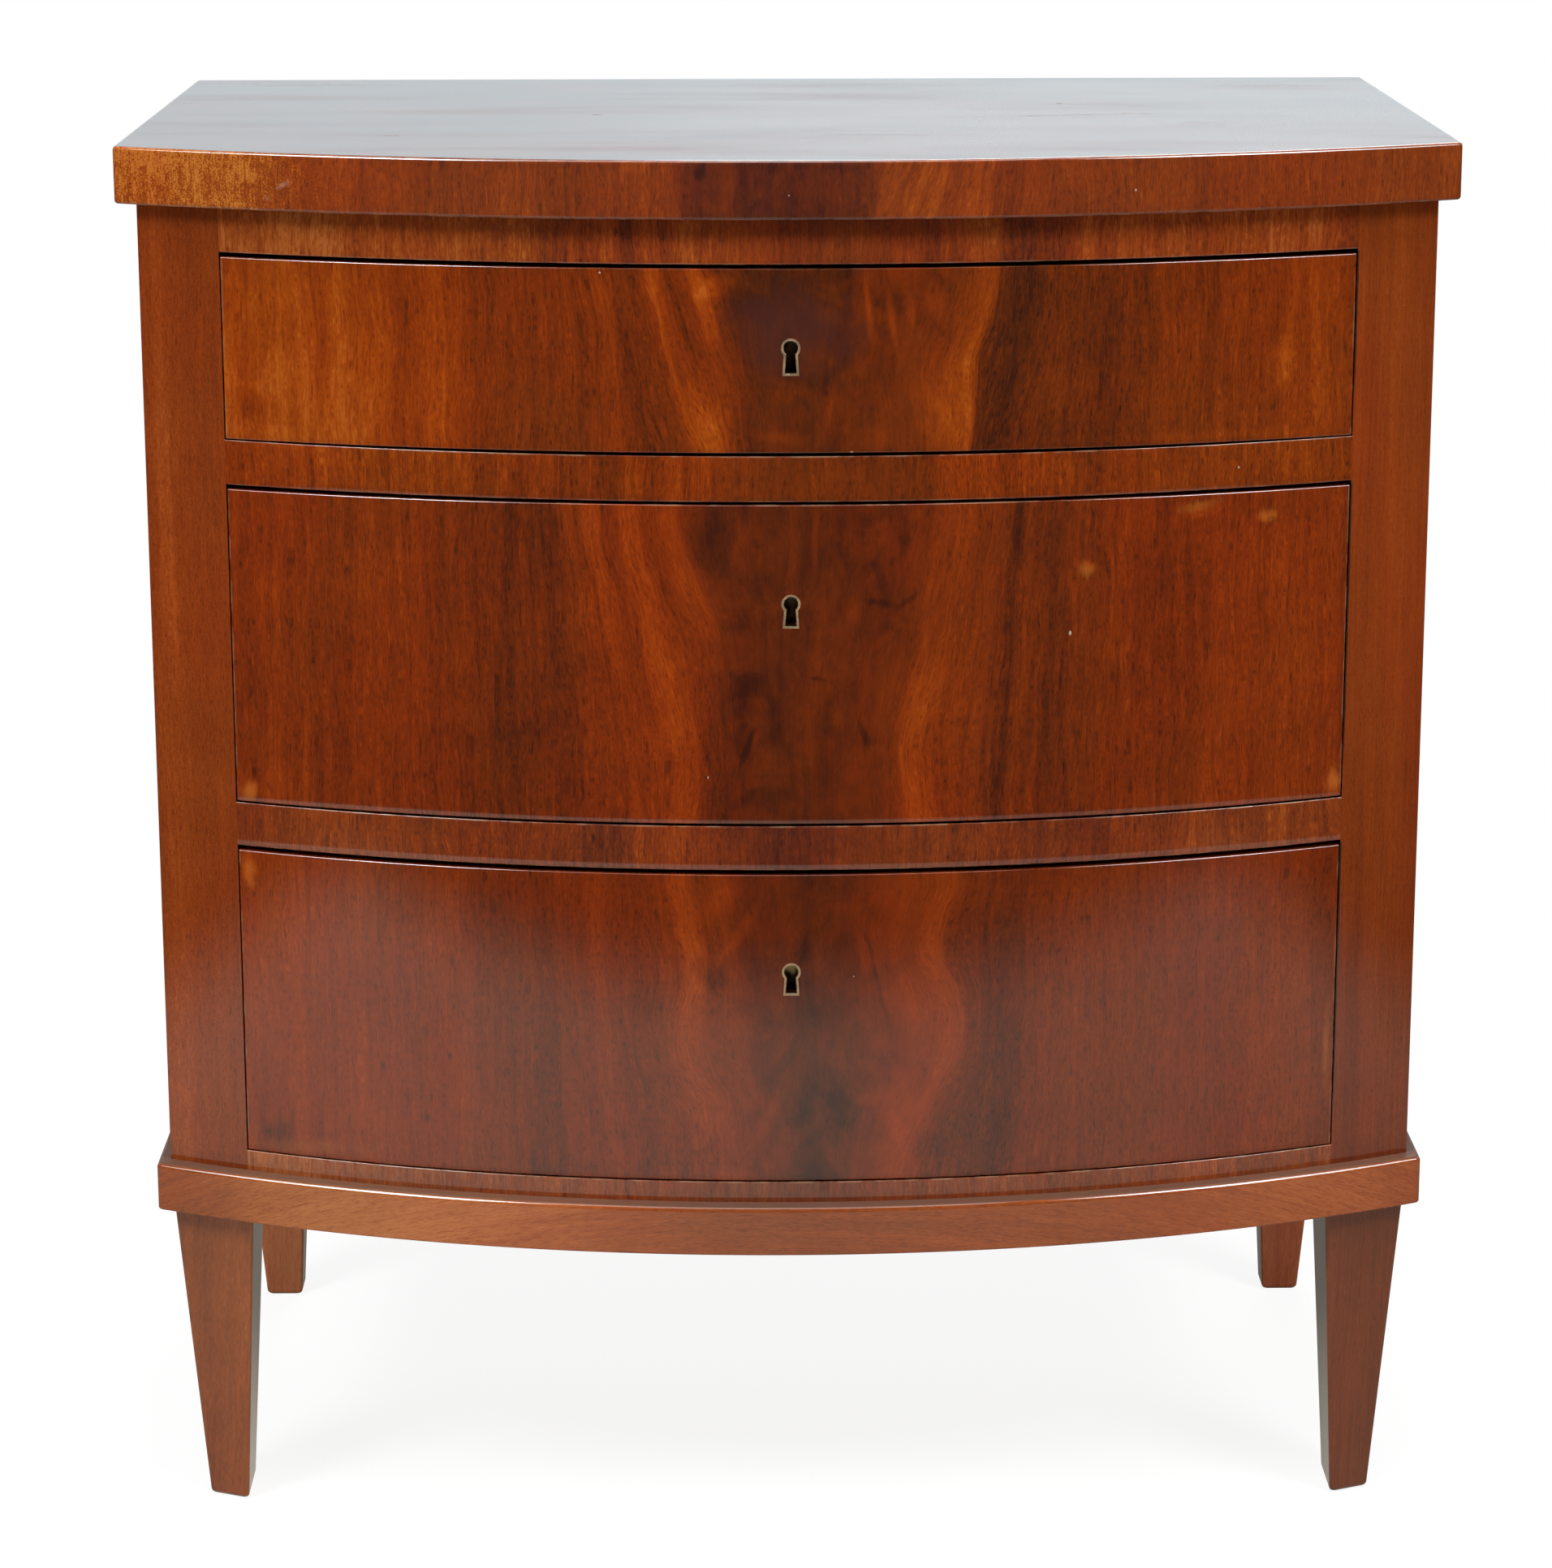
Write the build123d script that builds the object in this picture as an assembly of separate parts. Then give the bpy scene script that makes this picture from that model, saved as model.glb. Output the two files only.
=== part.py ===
from build123d import *
import math
import os

# A bow-front commode chest: a veneered case on four tapered legs, with three locked drawers.
# The origin is on the floor under the middle of the top. The front faces -Y, and lengths are in millimetres.

# Top board, whose front edge is an arc between straight sides
top_width = 810
top_side_depth = 444
top_bow = 94
top_thickness = 34.5
top_overhang = 12.3
top_back_overhang = 12
top_arris_round = 1.8
top_corner_round = 3

# Heights, from the floor up
leg_height = 198.5
bottom_thickness = 20
bottom_rail_height = 24
deep_opening_height = 198.5
shallow_opening_height = 113.5
rail_height = 27.5

# Case
stile_width = 51.2
stile_depth = 38
side_thickness = 20
side_tongue_thickness = 8
side_tongue_length = 7
rail_tenon_length = 20
rail_tenon_thickness = 10
rail_tenon_depth = 34
rail_tenon_setback = 20
back_thickness = 8
back_rebate = 10
back_lap = 9
back_rail_thickness = 18

# Base moulding, planted on the edges of the bottom board
moulding_height = 31
moulding_front_projection = 11
moulding_side_projection = 8
moulding_top_round = 3.2
moulding_bottom_round = 1.2
moulding_corner_round = 5

# Legs, each a square taper with a round tenon
leg_width = 52
leg_depth = 49
leg_inset = 1.5
rear_leg_inset = 17
leg_outer_taper = 17
leg_inner_taper = 10
leg_front_taper = 9
leg_back_taper = 15
leg_tenon_radius = 13
leg_tenon_length = 16
leg_edge_round = 2

# Drawer runners, with the guide that fills the space beside the drawer
runner_height = 20
runner_ledge = 18
guide_height = 26
dust_board_thickness = 6
dust_board_tongue = 6

# Drawer stops, which meet the back of the drawer front
stop_length = 32
stop_width = 20
stop_height = 5
stop_offset = 200
stop_clearance = 0.4

# Drawer fit in its opening
front_side_gap = 0.8
front_bottom_gap = 0.5
front_top_gap = 1.5
runner_clearance = 0.3

# Drawer boards
front_thickness = 22
front_lap = 6
drawer_side_thickness = 11
drawer_side_drop = 5
drawer_back_thickness = 10
drawer_back_drop = 9
drawer_back_clearance = 14
drawer_bottom_thickness = 7
drawer_bottom_rise = 8
bottom_groove_depth = 5
bottom_groove_play = 0.5
tail_pitch = 36
tail_wide_share = 0.68
tail_narrow_share = 0.5

# Keyhole and its thin brass liner, measured down from the top of each opening
keyhole_drop_1 = 49
keyhole_drop_2 = 61.5
keyhole_drop_3 = 64
keyhole_radius = 4.35
keyhole_neck_width = 5
keyhole_foot_width = 7
keyhole_foot_drop = 13.4
long_keyhole_foot_drop = 15
liner_wall = 1.4
liner_depth = 4

# Drawer lock, let into the back of the front
lock_plate_width = 70
lock_plate_thickness = 2
lock_plate_below_key = 24
lock_case_width = 46
lock_case_depth = 10
lock_case_wall = 1.2
lock_case_margin = 8
lock_selvedge_depth = 14
lock_fit_clearance = 0.15
bolt_width = 22
bolt_thickness = 6
bolt_clearance = 0.3
bolt_sink = 0.3
bolt_throw = 8
bolt_tail_width = 38
bolt_tail_length = 14
bolt_tail_thickness = 3
bolt_notch_width = 9
bolt_notch_depth = 5
bolt_neck_length = 24
bolt_pocket_play = 1.5
bolt_pocket_margin = 3

# Wood screws
screw_clearance = 0.1
small_screw_radius = 1.3
small_screw_head_radius = 2.6
small_screw_length = 12
small_screw_inset = 5
back_screw_radius = 1.8
back_screw_head_radius = 3.6
back_screw_length = 28
back_screw_margin = 40
top_screw_radius = 2.2
top_screw_head_radius = 4.4
top_screw_length = 46
top_screw_margin = 45
screw_slot_share = 0.28
back_screw_shares = (0, 0.2, 0.4, 0.6, 0.8, 1)
rail_screw_shares = (-0.7, -0.25, 0.25, 0.7)
top_screw_shares = (0, 0.5, 1)

# One overrun serves every cut
overrun = 5

# Values worked out from the sizes above
top_half = top_width / 2
overall_depth = top_side_depth + top_bow
back_y = overall_depth / 2
front_y = -overall_depth / 2
top_radius = (top_half ** 2 + top_bow ** 2) / (2 * top_bow)
bow_centre_y = front_y + top_radius
body_half = top_half - top_overhang
body_radius = top_radius - top_overhang
body_back = back_y - top_back_overhang
opening_half = body_half - stile_width
side_inner = body_half - side_thickness
case_floor = leg_height + bottom_thickness
deep_step = deep_opening_height + rail_height
opening_floors = {
    3: case_floor + bottom_rail_height,
    2: case_floor + bottom_rail_height + deep_step,
    1: case_floor + bottom_rail_height + 2 * deep_step,
}
opening_heights = {1: shallow_opening_height, 2: deep_opening_height, 3: deep_opening_height}
opening_tops = {number: opening_floors[number] + opening_heights[number] for number in opening_floors}
keyhole_drops = {1: keyhole_drop_1, 2: keyhole_drop_2, 3: keyhole_drop_3}
keyhole_foot_drops = {1: long_keyhole_foot_drop, 2: keyhole_foot_drop, 3: keyhole_foot_drop}
frieze_floor = opening_tops[1]
case_top = frieze_floor + rail_height
back_inner = body_back - back_thickness


def bow_y(radius, x):
    """Where an arc about the bow's centre stands at a given distance from the middle."""
    return bow_centre_y - math.sqrt(radius ** 2 - x ** 2)


stile_back = bow_y(body_radius, body_half) + stile_depth


# Building blocks

def block(x_range, y_range, z_range):
    """A box between two values on each axis."""
    centre = [(low + high) / 2 for low, high in (x_range, y_range, z_range)]
    size = [high - low for low, high in (x_range, y_range, z_range)]
    return Pos(*centre) * Box(*size)


def arc_points(half_width, radius):
    """Left end, middle and right end of a front arc."""
    end_y = bow_y(radius, half_width)
    return (-half_width, end_y), (0, bow_y(radius, 0)), (half_width, end_y)


def bowed_board(half_width, radius, back, z_range):
    """A board with a bowed front edge and a straight back edge."""
    left, middle, right = arc_points(half_width, radius)
    outline = ThreePointArc(left, middle, right)
    outline += Polyline(right, (half_width, back), (-half_width, back), left)
    low, high = z_range
    return extrude(Pos(0, 0, low) * make_face(outline), high - low)


def bowed_shell(half_width, outer_radius, inner_radius, z_range):
    """A curved front of even thickness, with its ends square to the chest."""
    outer_left, outer_middle, outer_right = arc_points(half_width, outer_radius)
    inner_left, inner_middle, inner_right = arc_points(half_width, inner_radius)
    outline = ThreePointArc(outer_left, outer_middle, outer_right)
    outline += Line(outer_right, inner_right)
    outline += ThreePointArc(inner_right, inner_middle, inner_left)
    outline += Line(inner_left, outer_left)
    low, high = z_range
    return extrude(Pos(0, 0, low) * make_face(outline), high - low)


def other_side(piece):
    """The same piece on the other side of the chest."""
    return mirror(piece, about=Plane.YZ)


def wood_screw(radius, head_radius, length, grow=0):
    """A countersunk screw along +Z, its head at the origin. A grown copy, with no slot, cuts its hole."""
    head_height = head_radius - radius
    outline = Polyline(
        (0, 0),
        (head_radius + grow, 0),
        (radius + grow, head_height),
        (radius + grow, length - 2 * radius),
        (0, length + grow),
        (0, 0),
    )
    screw = revolve(Plane.XZ * make_face(outline), Axis.Z)
    if grow:
        return screw
    return screw - Box(2 * (head_radius + overrun), head_radius * screw_slot_share, head_height)


# Case

def make_top_board():
    board = bowed_board(top_half, top_radius, back_y, (case_top, case_top + top_thickness))
    upright = board.edges().filter_by(Axis.Z).sort_by(Axis.Y)[:2]
    board = fillet(upright, top_corner_round)
    arrises = [
        edge
        for face in (board.faces().sort_by(Axis.Z)[0], board.faces().sort_by(Axis.Z)[-1])
        for edge in face.edges()
        if edge.center().Y < back_y - top_corner_round
    ]
    return fillet(arrises, top_arris_round) - top_screws(grow=screw_clearance)


def rail_tenons(z_range):
    """The pair of tenons at the ends of a front rail."""
    middle = sum(z_range) / 2
    front = bow_y(body_radius, opening_half) + rail_tenon_setback
    tenon = block(
        (opening_half, opening_half + rail_tenon_length),
        (front, front + rail_tenon_depth),
        (middle - rail_tenon_thickness / 2, middle + rail_tenon_thickness / 2),
    )
    return tenon + other_side(tenon)


def rail_levels():
    """Bottom and top of each front rail, by name."""
    return {
        "bottom_rail": (case_floor, opening_floors[3]),
        "divider_rail_lower": (opening_tops[3], opening_floors[2]),
        "divider_rail_upper": (opening_tops[2], opening_floors[1]),
        "frieze_rail": (frieze_floor, case_top),
    }


def make_rail(name):
    """A front rail, with its tenons, and the pocket that takes the bolt of the drawer below."""
    level = rail_levels()[name]
    rail = bowed_board(opening_half, body_radius, stile_back, level) + rail_tenons(level)
    below = {"divider_rail_lower": 3, "divider_rail_upper": 2, "frieze_rail": 1}.get(name)
    if below:
        rail -= bolt_pocket(below)
    above = {"divider_rail_lower": 2, "divider_rail_upper": 1}.get(name)
    if above:
        rail -= dust_board(above)
    return rail


def make_stile():
    """The right front stile, with its mortises and the groove for the side panel's tongue."""
    stile = bowed_board(body_half, body_radius, stile_back, (case_floor, case_top))
    stile -= block((-body_half - overrun, opening_half), (front_y, back_y), (leg_height, case_top + overrun))
    for level in rail_levels().values():
        stile -= rail_tenons(level)
    return stile - side_tongue()


def side_tongue():
    """The tongue on the front edge of the right side panel."""
    middle = (side_inner + body_half) / 2
    half = side_tongue_thickness / 2
    return block(
        (middle - half, middle + half),
        (stile_back - side_tongue_length, stile_back),
        (case_floor, case_top),
    )


def make_side_panel():
    """The right side panel, with its tongue in front and its rebate for the back boards."""
    panel = block((side_inner, body_half), (stile_back, body_back), (case_floor, case_top)) + side_tongue()
    rebate = block(
        (side_inner - overrun, side_inner + back_rebate),
        (back_inner, body_back + overrun),
        (case_floor - overrun, case_top + overrun),
    )
    return panel - rebate - back_screws(grow=screw_clearance)


def make_bottom_board():
    board = bowed_board(body_half, body_radius, body_back, (leg_height, case_floor))
    for tenon in leg_tenons():
        board -= tenon
    return board - back_screws(grow=screw_clearance)


def back_boards():
    """Two wide boards that meet in a half lap, lower one first."""
    half_width = side_inner + back_rebate
    joint_z = (case_floor + case_top) / 2
    lap_y = (back_inner + body_back) / 2
    across = (-half_width, half_width)
    lower = block(across, (back_inner, body_back), (case_floor, joint_z))
    lower += block(across, (back_inner, lap_y), (joint_z, joint_z + back_lap))
    upper = block(across, (back_inner, body_back), (joint_z + back_lap, case_top))
    upper += block(across, (lap_y, body_back), (joint_z, joint_z + back_lap))
    holes = back_screws(grow=screw_clearance)
    return lower - holes, upper - holes


def make_back_rail():
    rail = block(
        (-side_inner, side_inner),
        (back_inner - back_rail_thickness, back_inner),
        (frieze_floor, case_top),
    )
    return rail - back_screws(grow=screw_clearance)


def back_screws(grow=0):
    """Screws along the edges of the back boards, driven forward."""
    edge_x = side_inner + back_rebate / 2
    clear_height = case_top - case_floor - 2 * back_screw_margin
    side_levels = [case_floor + back_screw_margin + clear_height * share for share in back_screw_shares]
    places = [(side * edge_x, level) for side in (-1, 1) for level in side_levels]
    rail_z = (frieze_floor + case_top) / 2
    places += [(share * side_inner, rail_z) for share in rail_screw_shares]
    screw = wood_screw(back_screw_radius, back_screw_head_radius, back_screw_length, grow)
    return Compound([Pos(x, body_back, z) * Rot(90, 0, 0) * screw for x, z in places])


# Base moulding

def make_mouldings():
    """Front, right and left lengths of the base moulding, mitred at the front corners."""
    outer_half = body_half + moulding_side_projection
    outer_radius = body_radius + moulding_front_projection
    level = (leg_height, leg_height + moulding_height)
    ring = bowed_board(outer_half, outer_radius, body_back, level)
    upright = ring.edges().filter_by(Axis.Z).sort_by(Axis.Y)[:2]
    ring = fillet(upright, moulding_corner_round)
    for place, radius in ((-1, moulding_top_round), (0, moulding_bottom_round)):
        edges = ring.faces().sort_by(Axis.Z)[place].edges()
        ring = fillet([edge for edge in edges if edge.center().Y < body_back - overrun], radius)
    ring -= bowed_board(body_half, body_radius, body_back + overrun, (leg_height - overrun, case_top))

    inner_corner = (body_half, bow_y(body_radius, body_half))
    outer_corner = (outer_half, bow_y(outer_radius, outer_half))
    mitre_end = tuple(2 * outer - inner for outer, inner in zip(outer_corner, inner_corner))
    wedge_outline = Polyline(
        inner_corner,
        mitre_end,
        (mitre_end[0], front_y - overrun),
        (-mitre_end[0], front_y - overrun),
        (-mitre_end[0], mitre_end[1]),
        (-inner_corner[0], inner_corner[1]),
        inner_corner,
    )
    wedge_floor = Pos(0, 0, leg_height - overrun)
    wedge = extrude(wedge_floor * make_face(wedge_outline), moulding_height + 2 * overrun)
    sides = (ring - wedge).solids().sort_by(Axis.X)
    return ring & wedge, sides[-1], sides[0]


# Legs

def leg_places():
    """Front of the outer edge, back, and slope of the face, for the front leg and the rear leg."""
    outer = body_half - leg_inset
    front = bow_y(body_radius, outer) + leg_inset
    bow_slope = (bow_y(body_radius, outer) - bow_y(body_radius, outer - leg_width)) / leg_width
    rear_back = body_back - rear_leg_inset
    return {
        "front": (front, front + leg_depth, bow_slope),
        "rear": (rear_back - leg_depth, rear_back, 0),
    }


def leg_corners(front, back, slope, inner, outer, z):
    """Plan of a right leg at one level, from the inner front corner. A front leg's face follows the bow."""
    inner_front = front - slope * (outer - inner)
    return [(inner, inner_front, z), (outer, front, z), (outer, back, z), (inner, back, z)]


def leg_tenon(name):
    """The round tenon on top of a right leg."""
    outer = body_half - leg_inset
    back = leg_places()[name][1]
    centre = (outer - leg_width / 2, back - leg_depth / 2, leg_height + leg_tenon_length / 2)
    return Pos(*centre) * Cylinder(leg_tenon_radius, leg_tenon_length)


def leg_tenons():
    """All four tenons, as they pass into the bottom board."""
    right = [leg_tenon("front"), leg_tenon("rear")]
    return right + [other_side(tenon) for tenon in right]


def make_leg(name):
    """A right leg: a tapered square whose long edges and foot are rounded over."""
    front, back, slope = leg_places()[name]
    outer = body_half - leg_inset
    inner = outer - leg_width
    foot_front = front + leg_front_taper - slope * leg_outer_taper
    foot_back = back - leg_back_taper
    foot_inner = inner + leg_inner_taper
    foot_outer = outer - leg_outer_taper
    upper = leg_corners(front, back, slope, inner, outer, leg_height)
    lower = leg_corners(foot_front, foot_back, slope, foot_inner, foot_outer, 0)
    sides = zip(lower, lower[1:] + lower[:1], upper[1:] + upper[:1], upper)
    outlines = [lower, upper, *sides]
    leg = Solid(Shell([Face(Wire.make_polygon(outline, close=True)) for outline in outlines]))
    outer_edges = [edge for edge in leg.edges() if edge.center().Z < leg_height - leg_edge_round]
    return fillet(outer_edges, leg_edge_round) + leg_tenon(name)


# Drawer runners, kickers, dust boards and stops

def dust_board(number):
    """The thin panel under one of the two upper drawers, let into its runners and its rail."""
    half_width = opening_half - runner_ledge + dust_board_tongue
    middle = opening_floors[number] - runner_height / 2
    half = dust_board_thickness / 2
    return block(
        (-half_width, half_width),
        (stile_back - dust_board_tongue, back_inner),
        (middle - half, middle + half),
    )


def make_runner(number):
    """The right runner of a drawer, with the guide that fills out to the side panel."""
    floor = opening_floors[number]
    base = case_floor if number == 3 else floor - runner_height
    along = (stile_back, back_inner)
    runner = block((opening_half - runner_ledge, side_inner), along, (base, floor))
    runner += block((opening_half, side_inner), along, (floor, floor + guide_height))
    return runner if number == 3 else runner - dust_board(number)


def make_kicker():
    """The right strip over the top drawer, which keeps it from tipping. The top is screwed on through it."""
    kicker = block(
        (opening_half - runner_ledge, side_inner),
        (stile_back, back_inner - back_rail_thickness),
        (frieze_floor, case_top),
    )
    return kicker - top_screws(grow=screw_clearance)


def top_screws(grow=0):
    """Screws that hold the top down, three to a side."""
    screw_x = (opening_half + side_inner) / 2
    first = stile_back + top_screw_margin
    last = back_inner - back_rail_thickness - top_screw_margin
    screw = wood_screw(top_screw_radius, top_screw_head_radius, top_screw_length, grow)
    along = [first + (last - first) * share for share in top_screw_shares]
    return Compound([Pos(side * screw_x, y, frieze_floor) * screw for side in (-1, 1) for y in along])


def make_stops():
    """Two small blocks on each rail, square to the curve, just behind the drawer front."""
    radius = body_radius - front_thickness - stop_clearance - stop_width / 2
    swing = math.degrees(math.asin(stop_offset / radius))
    stops = []
    for floor in opening_floors.values():
        for angle in (-swing, swing):
            stop = Pos(0, -radius, stop_height / 2) * Box(stop_length, stop_width, stop_height)
            stops.append(Pos(0, bow_centre_y, floor) * Rot(0, 0, angle) * stop)
    return Compound(stops)


# Drawers

def drawer_sizes(number):
    """The levels of one drawer's boards and the places that its pieces share."""
    floor = opening_floors[number]
    top = opening_tops[number]
    bottom_low = floor + runner_clearance + drawer_bottom_rise
    return {
        "half": opening_half - front_side_gap,
        "inner_half": opening_half - front_side_gap - drawer_side_thickness,
        "front": (floor + front_bottom_gap, top - front_top_gap),
        "side": (floor + runner_clearance, top - drawer_side_drop),
        "bottom": (bottom_low, bottom_low + drawer_bottom_thickness),
        "back": (bottom_low + drawer_bottom_thickness, top - drawer_side_drop - drawer_back_drop),
        "rear": back_inner - drawer_back_clearance,
    }


def dovetails(z_range, y_root, y_tip, x_range):
    """Tails along an upright joint, wider at the tip, as many as the board's height takes."""
    low, high = z_range
    count = max(2, round((high - low) / tail_pitch))
    pitch = (high - low) / count
    tails = []
    for index in range(count):
        middle = low + pitch * (index + 0.5)
        root = pitch * tail_narrow_share / 2
        tip = pitch * tail_wide_share / 2
        outline = Polyline(
            (y_root, middle - root),
            (y_tip, middle - tip),
            (y_tip, middle + tip),
            (y_root, middle + root),
            (y_root, middle - root),
        )
        tails.append(extrude(Plane.YZ.offset(x_range[0]) * make_face(outline), x_range[1] - x_range[0]))
    return Compound(tails)


def drawer_bottom(number, play=0):
    """The bottom panel, let into grooves in the front and the sides. With play, it cuts the grooves."""
    sizes = drawer_sizes(number)
    half_width = sizes["inner_half"] + bottom_groove_depth - bottom_groove_play + play
    radius = body_radius - front_thickness + bottom_groove_depth - bottom_groove_play + play
    return bowed_board(half_width, radius, sizes["rear"], sizes["bottom"])


def front_tails(number):
    """The tails of the right side that are let into the back of the front."""
    sizes = drawer_sizes(number)
    inner_radius = body_radius - front_thickness
    lap_radius = body_radius - front_lap
    joint = bowed_shell(sizes["half"], lap_radius, inner_radius, sizes["side"])
    tails = dovetails(
        sizes["side"],
        bow_y(inner_radius, sizes["half"]),
        bow_y(lap_radius, sizes["inner_half"]),
        (sizes["inner_half"], sizes["half"]),
    )
    return joint & tails


def rear_tails(number):
    """The tails of the right side that pass through the end of the back."""
    sizes = drawer_sizes(number)
    rear = sizes["rear"]
    across = (sizes["inner_half"], sizes["half"])
    return dovetails(sizes["back"], rear - drawer_back_thickness, rear, across)


def drawer_back(number):
    sizes = drawer_sizes(number)
    rear = sizes["rear"]
    board = block((-sizes["half"], sizes["half"]), (rear - drawer_back_thickness, rear), sizes["back"])
    tails = rear_tails(number)
    return board - tails - other_side(tails)


def drawer_side(number):
    """The right side of a drawer, cut to its joints."""
    sizes = drawer_sizes(number)
    inner_radius = body_radius - front_thickness
    half_width = sizes["half"]
    board = bowed_board(half_width, inner_radius, sizes["rear"], sizes["side"])
    board -= block((-half_width - overrun, sizes["inner_half"]), (front_y, back_y), (0, case_top))
    board += front_tails(number)
    return board - drawer_back(number) - drawer_bottom(number, bottom_groove_play)


def drawer_front(number):
    """The curved front, cut for its joints, its lock and its keyhole."""
    sizes = drawer_sizes(number)
    board = bowed_shell(sizes["half"], body_radius, body_radius - front_thickness, sizes["front"])
    tails = front_tails(number)
    board -= tails
    board -= other_side(tails)
    board -= drawer_bottom(number, bottom_groove_play)
    board -= lock_body(number, lock_fit_clearance)
    board -= lock_screws(number, screw_clearance)
    board -= keyhole(number, 0, (front_y, bow_y(body_radius, 0) + front_thickness))
    liner_back = bow_y(body_radius, 0) + liner_depth
    return board - keyhole(number, liner_wall, (front_y, liner_back))


# Keyhole, liner and lock

def key_height(number):
    return opening_tops[number] - keyhole_drops[number]


def keyhole(number, grow, y_range):
    """The keyhole's shape along Y: a round head over a foot that widens downwards."""
    near, far = y_range
    neck = keyhole_neck_width / 2 + grow
    foot = keyhole_foot_width / 2 + grow
    drop = keyhole_foot_drops[number] + grow
    leg = make_face(Polyline((-neck, 0), (-foot, -drop), (foot, -drop), (neck, 0), (-neck, 0)))
    shape = Circle(keyhole_radius + grow) + leg
    return extrude(Plane.XZ.offset(-far) * Pos(0, key_height(number)) * shape, far - near)


def keyhole_liner(number):
    """The thin brass liner, flush with the veneer."""
    span = (front_y, bow_y(body_radius, 0) + liner_depth)
    ring = keyhole(number, liner_wall, span) - keyhole(number, 0, span)
    high = key_height(number) + keyhole_radius + liner_wall + overrun
    low = key_height(number) - keyhole_foot_drops[number] - liner_wall - overrun
    return ring & bowed_board(opening_half, body_radius, back_y, (low, high))


def lock_places(number):
    """The planes that the lock's pieces share."""
    plate_back = bow_y(body_radius - front_thickness, 0)
    plate_front = plate_back - lock_plate_thickness
    edge = drawer_sizes(number)["front"][1]
    return {
        "plate_back": plate_back,
        "plate_front": plate_front,
        "case_front": plate_front - lock_case_depth,
        "bolt_middle": plate_front - lock_case_depth / 2,
        "edge": edge,
        "plate_low": key_height(number) - lock_plate_below_key,
        "case_low": key_height(number) - lock_plate_below_key + lock_case_margin,
    }


def lock_body(number, grow=0):
    """The outside of the lock: back plate, case and selvedge. A grown copy cuts its recess."""
    places = lock_places(number)
    opened = overrun if grow else 0
    half_plate = lock_plate_width / 2 + grow
    half_case = lock_case_width / 2 + grow
    plate = block(
        (-half_plate, half_plate),
        (places["plate_front"], places["plate_back"] + opened),
        (places["plate_low"] - grow, places["edge"] + opened),
    )
    case = block(
        (-half_case, half_case),
        (places["case_front"] - grow, places["plate_front"]),
        (places["case_low"] - grow, places["edge"]),
    )
    selvedge = block(
        (-half_plate, half_plate),
        (places["plate_back"] - lock_selvedge_depth - grow, places["plate_back"]),
        (places["edge"] - lock_plate_thickness, places["edge"] + opened),
    )
    return plate + case + selvedge


def lock_case(number):
    """The lock's hollow case, with the slot for its bolt and its keyhole."""
    places = lock_places(number)
    half_hollow = lock_case_width / 2 - lock_case_wall
    hollow = block(
        (-half_hollow, half_hollow),
        (places["case_front"] + lock_case_wall, places["plate_front"]),
        (places["case_low"] + lock_case_wall, places["edge"] - lock_plate_thickness),
    )
    half_slot = bolt_width / 2 + bolt_clearance
    slot_depth = bolt_thickness / 2 + bolt_clearance
    slot = block(
        (-half_slot, half_slot),
        (places["bolt_middle"] - slot_depth, places["bolt_middle"] + slot_depth),
        (places["edge"] - lock_plate_thickness - overrun, places["edge"] + overrun),
    )
    key_way = keyhole(number, 0, (places["case_front"] - overrun, places["case_front"] + lock_case_wall))
    return lock_body(number) - hollow - slot - key_way - lock_screws(number, screw_clearance)


def lock_bolt(number):
    """The bolt: a tongue that shoots up through the selvedge, and a notched tail that the key lifts."""
    places = lock_places(number)
    head_top = places["edge"] - bolt_sink
    neck_low = head_top - bolt_neck_length
    tongue = block(
        (-bolt_width / 2, bolt_width / 2),
        (places["bolt_middle"] - bolt_thickness / 2, places["bolt_middle"] + bolt_thickness / 2),
        (neck_low, head_top),
    )
    tail_back = places["bolt_middle"] + bolt_thickness / 2
    tail = block(
        (-bolt_tail_width / 2, bolt_tail_width / 2),
        (tail_back - bolt_tail_thickness, tail_back),
        (neck_low - bolt_tail_length, neck_low),
    )
    notch = block(
        (-bolt_notch_width / 2, bolt_notch_width / 2),
        (front_y, back_y),
        (neck_low - bolt_tail_length - overrun, neck_low - bolt_tail_length + bolt_notch_depth),
    )
    return tongue + tail - notch


def bolt_pocket(number):
    """The pocket in the rail above, which takes the thrown bolt with room to spare."""
    middle = lock_places(number)["bolt_middle"]
    half_width = bolt_width / 2 + bolt_pocket_play
    half_depth = bolt_thickness / 2 + bolt_pocket_play
    return block(
        (-half_width, half_width),
        (middle - half_depth, middle + half_depth),
        (opening_tops[number] - overrun, opening_tops[number] + bolt_throw + bolt_pocket_margin),
    )


def lock_screws(number, grow=0):
    """Four small screws through the corners of the lock plate."""
    places = lock_places(number)
    x = lock_plate_width / 2 - small_screw_inset
    levels = (
        places["plate_low"] + small_screw_inset,
        places["edge"] - lock_plate_thickness - 2 * small_screw_inset,
    )
    screw = wood_screw(small_screw_radius, small_screw_head_radius, small_screw_length, grow)
    return Compound([
        Pos(side * x, places["plate_back"], level) * Rot(90, 0, 0) * screw
        for side in (-1, 1)
        for level in levels
    ])


# Assembly

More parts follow.
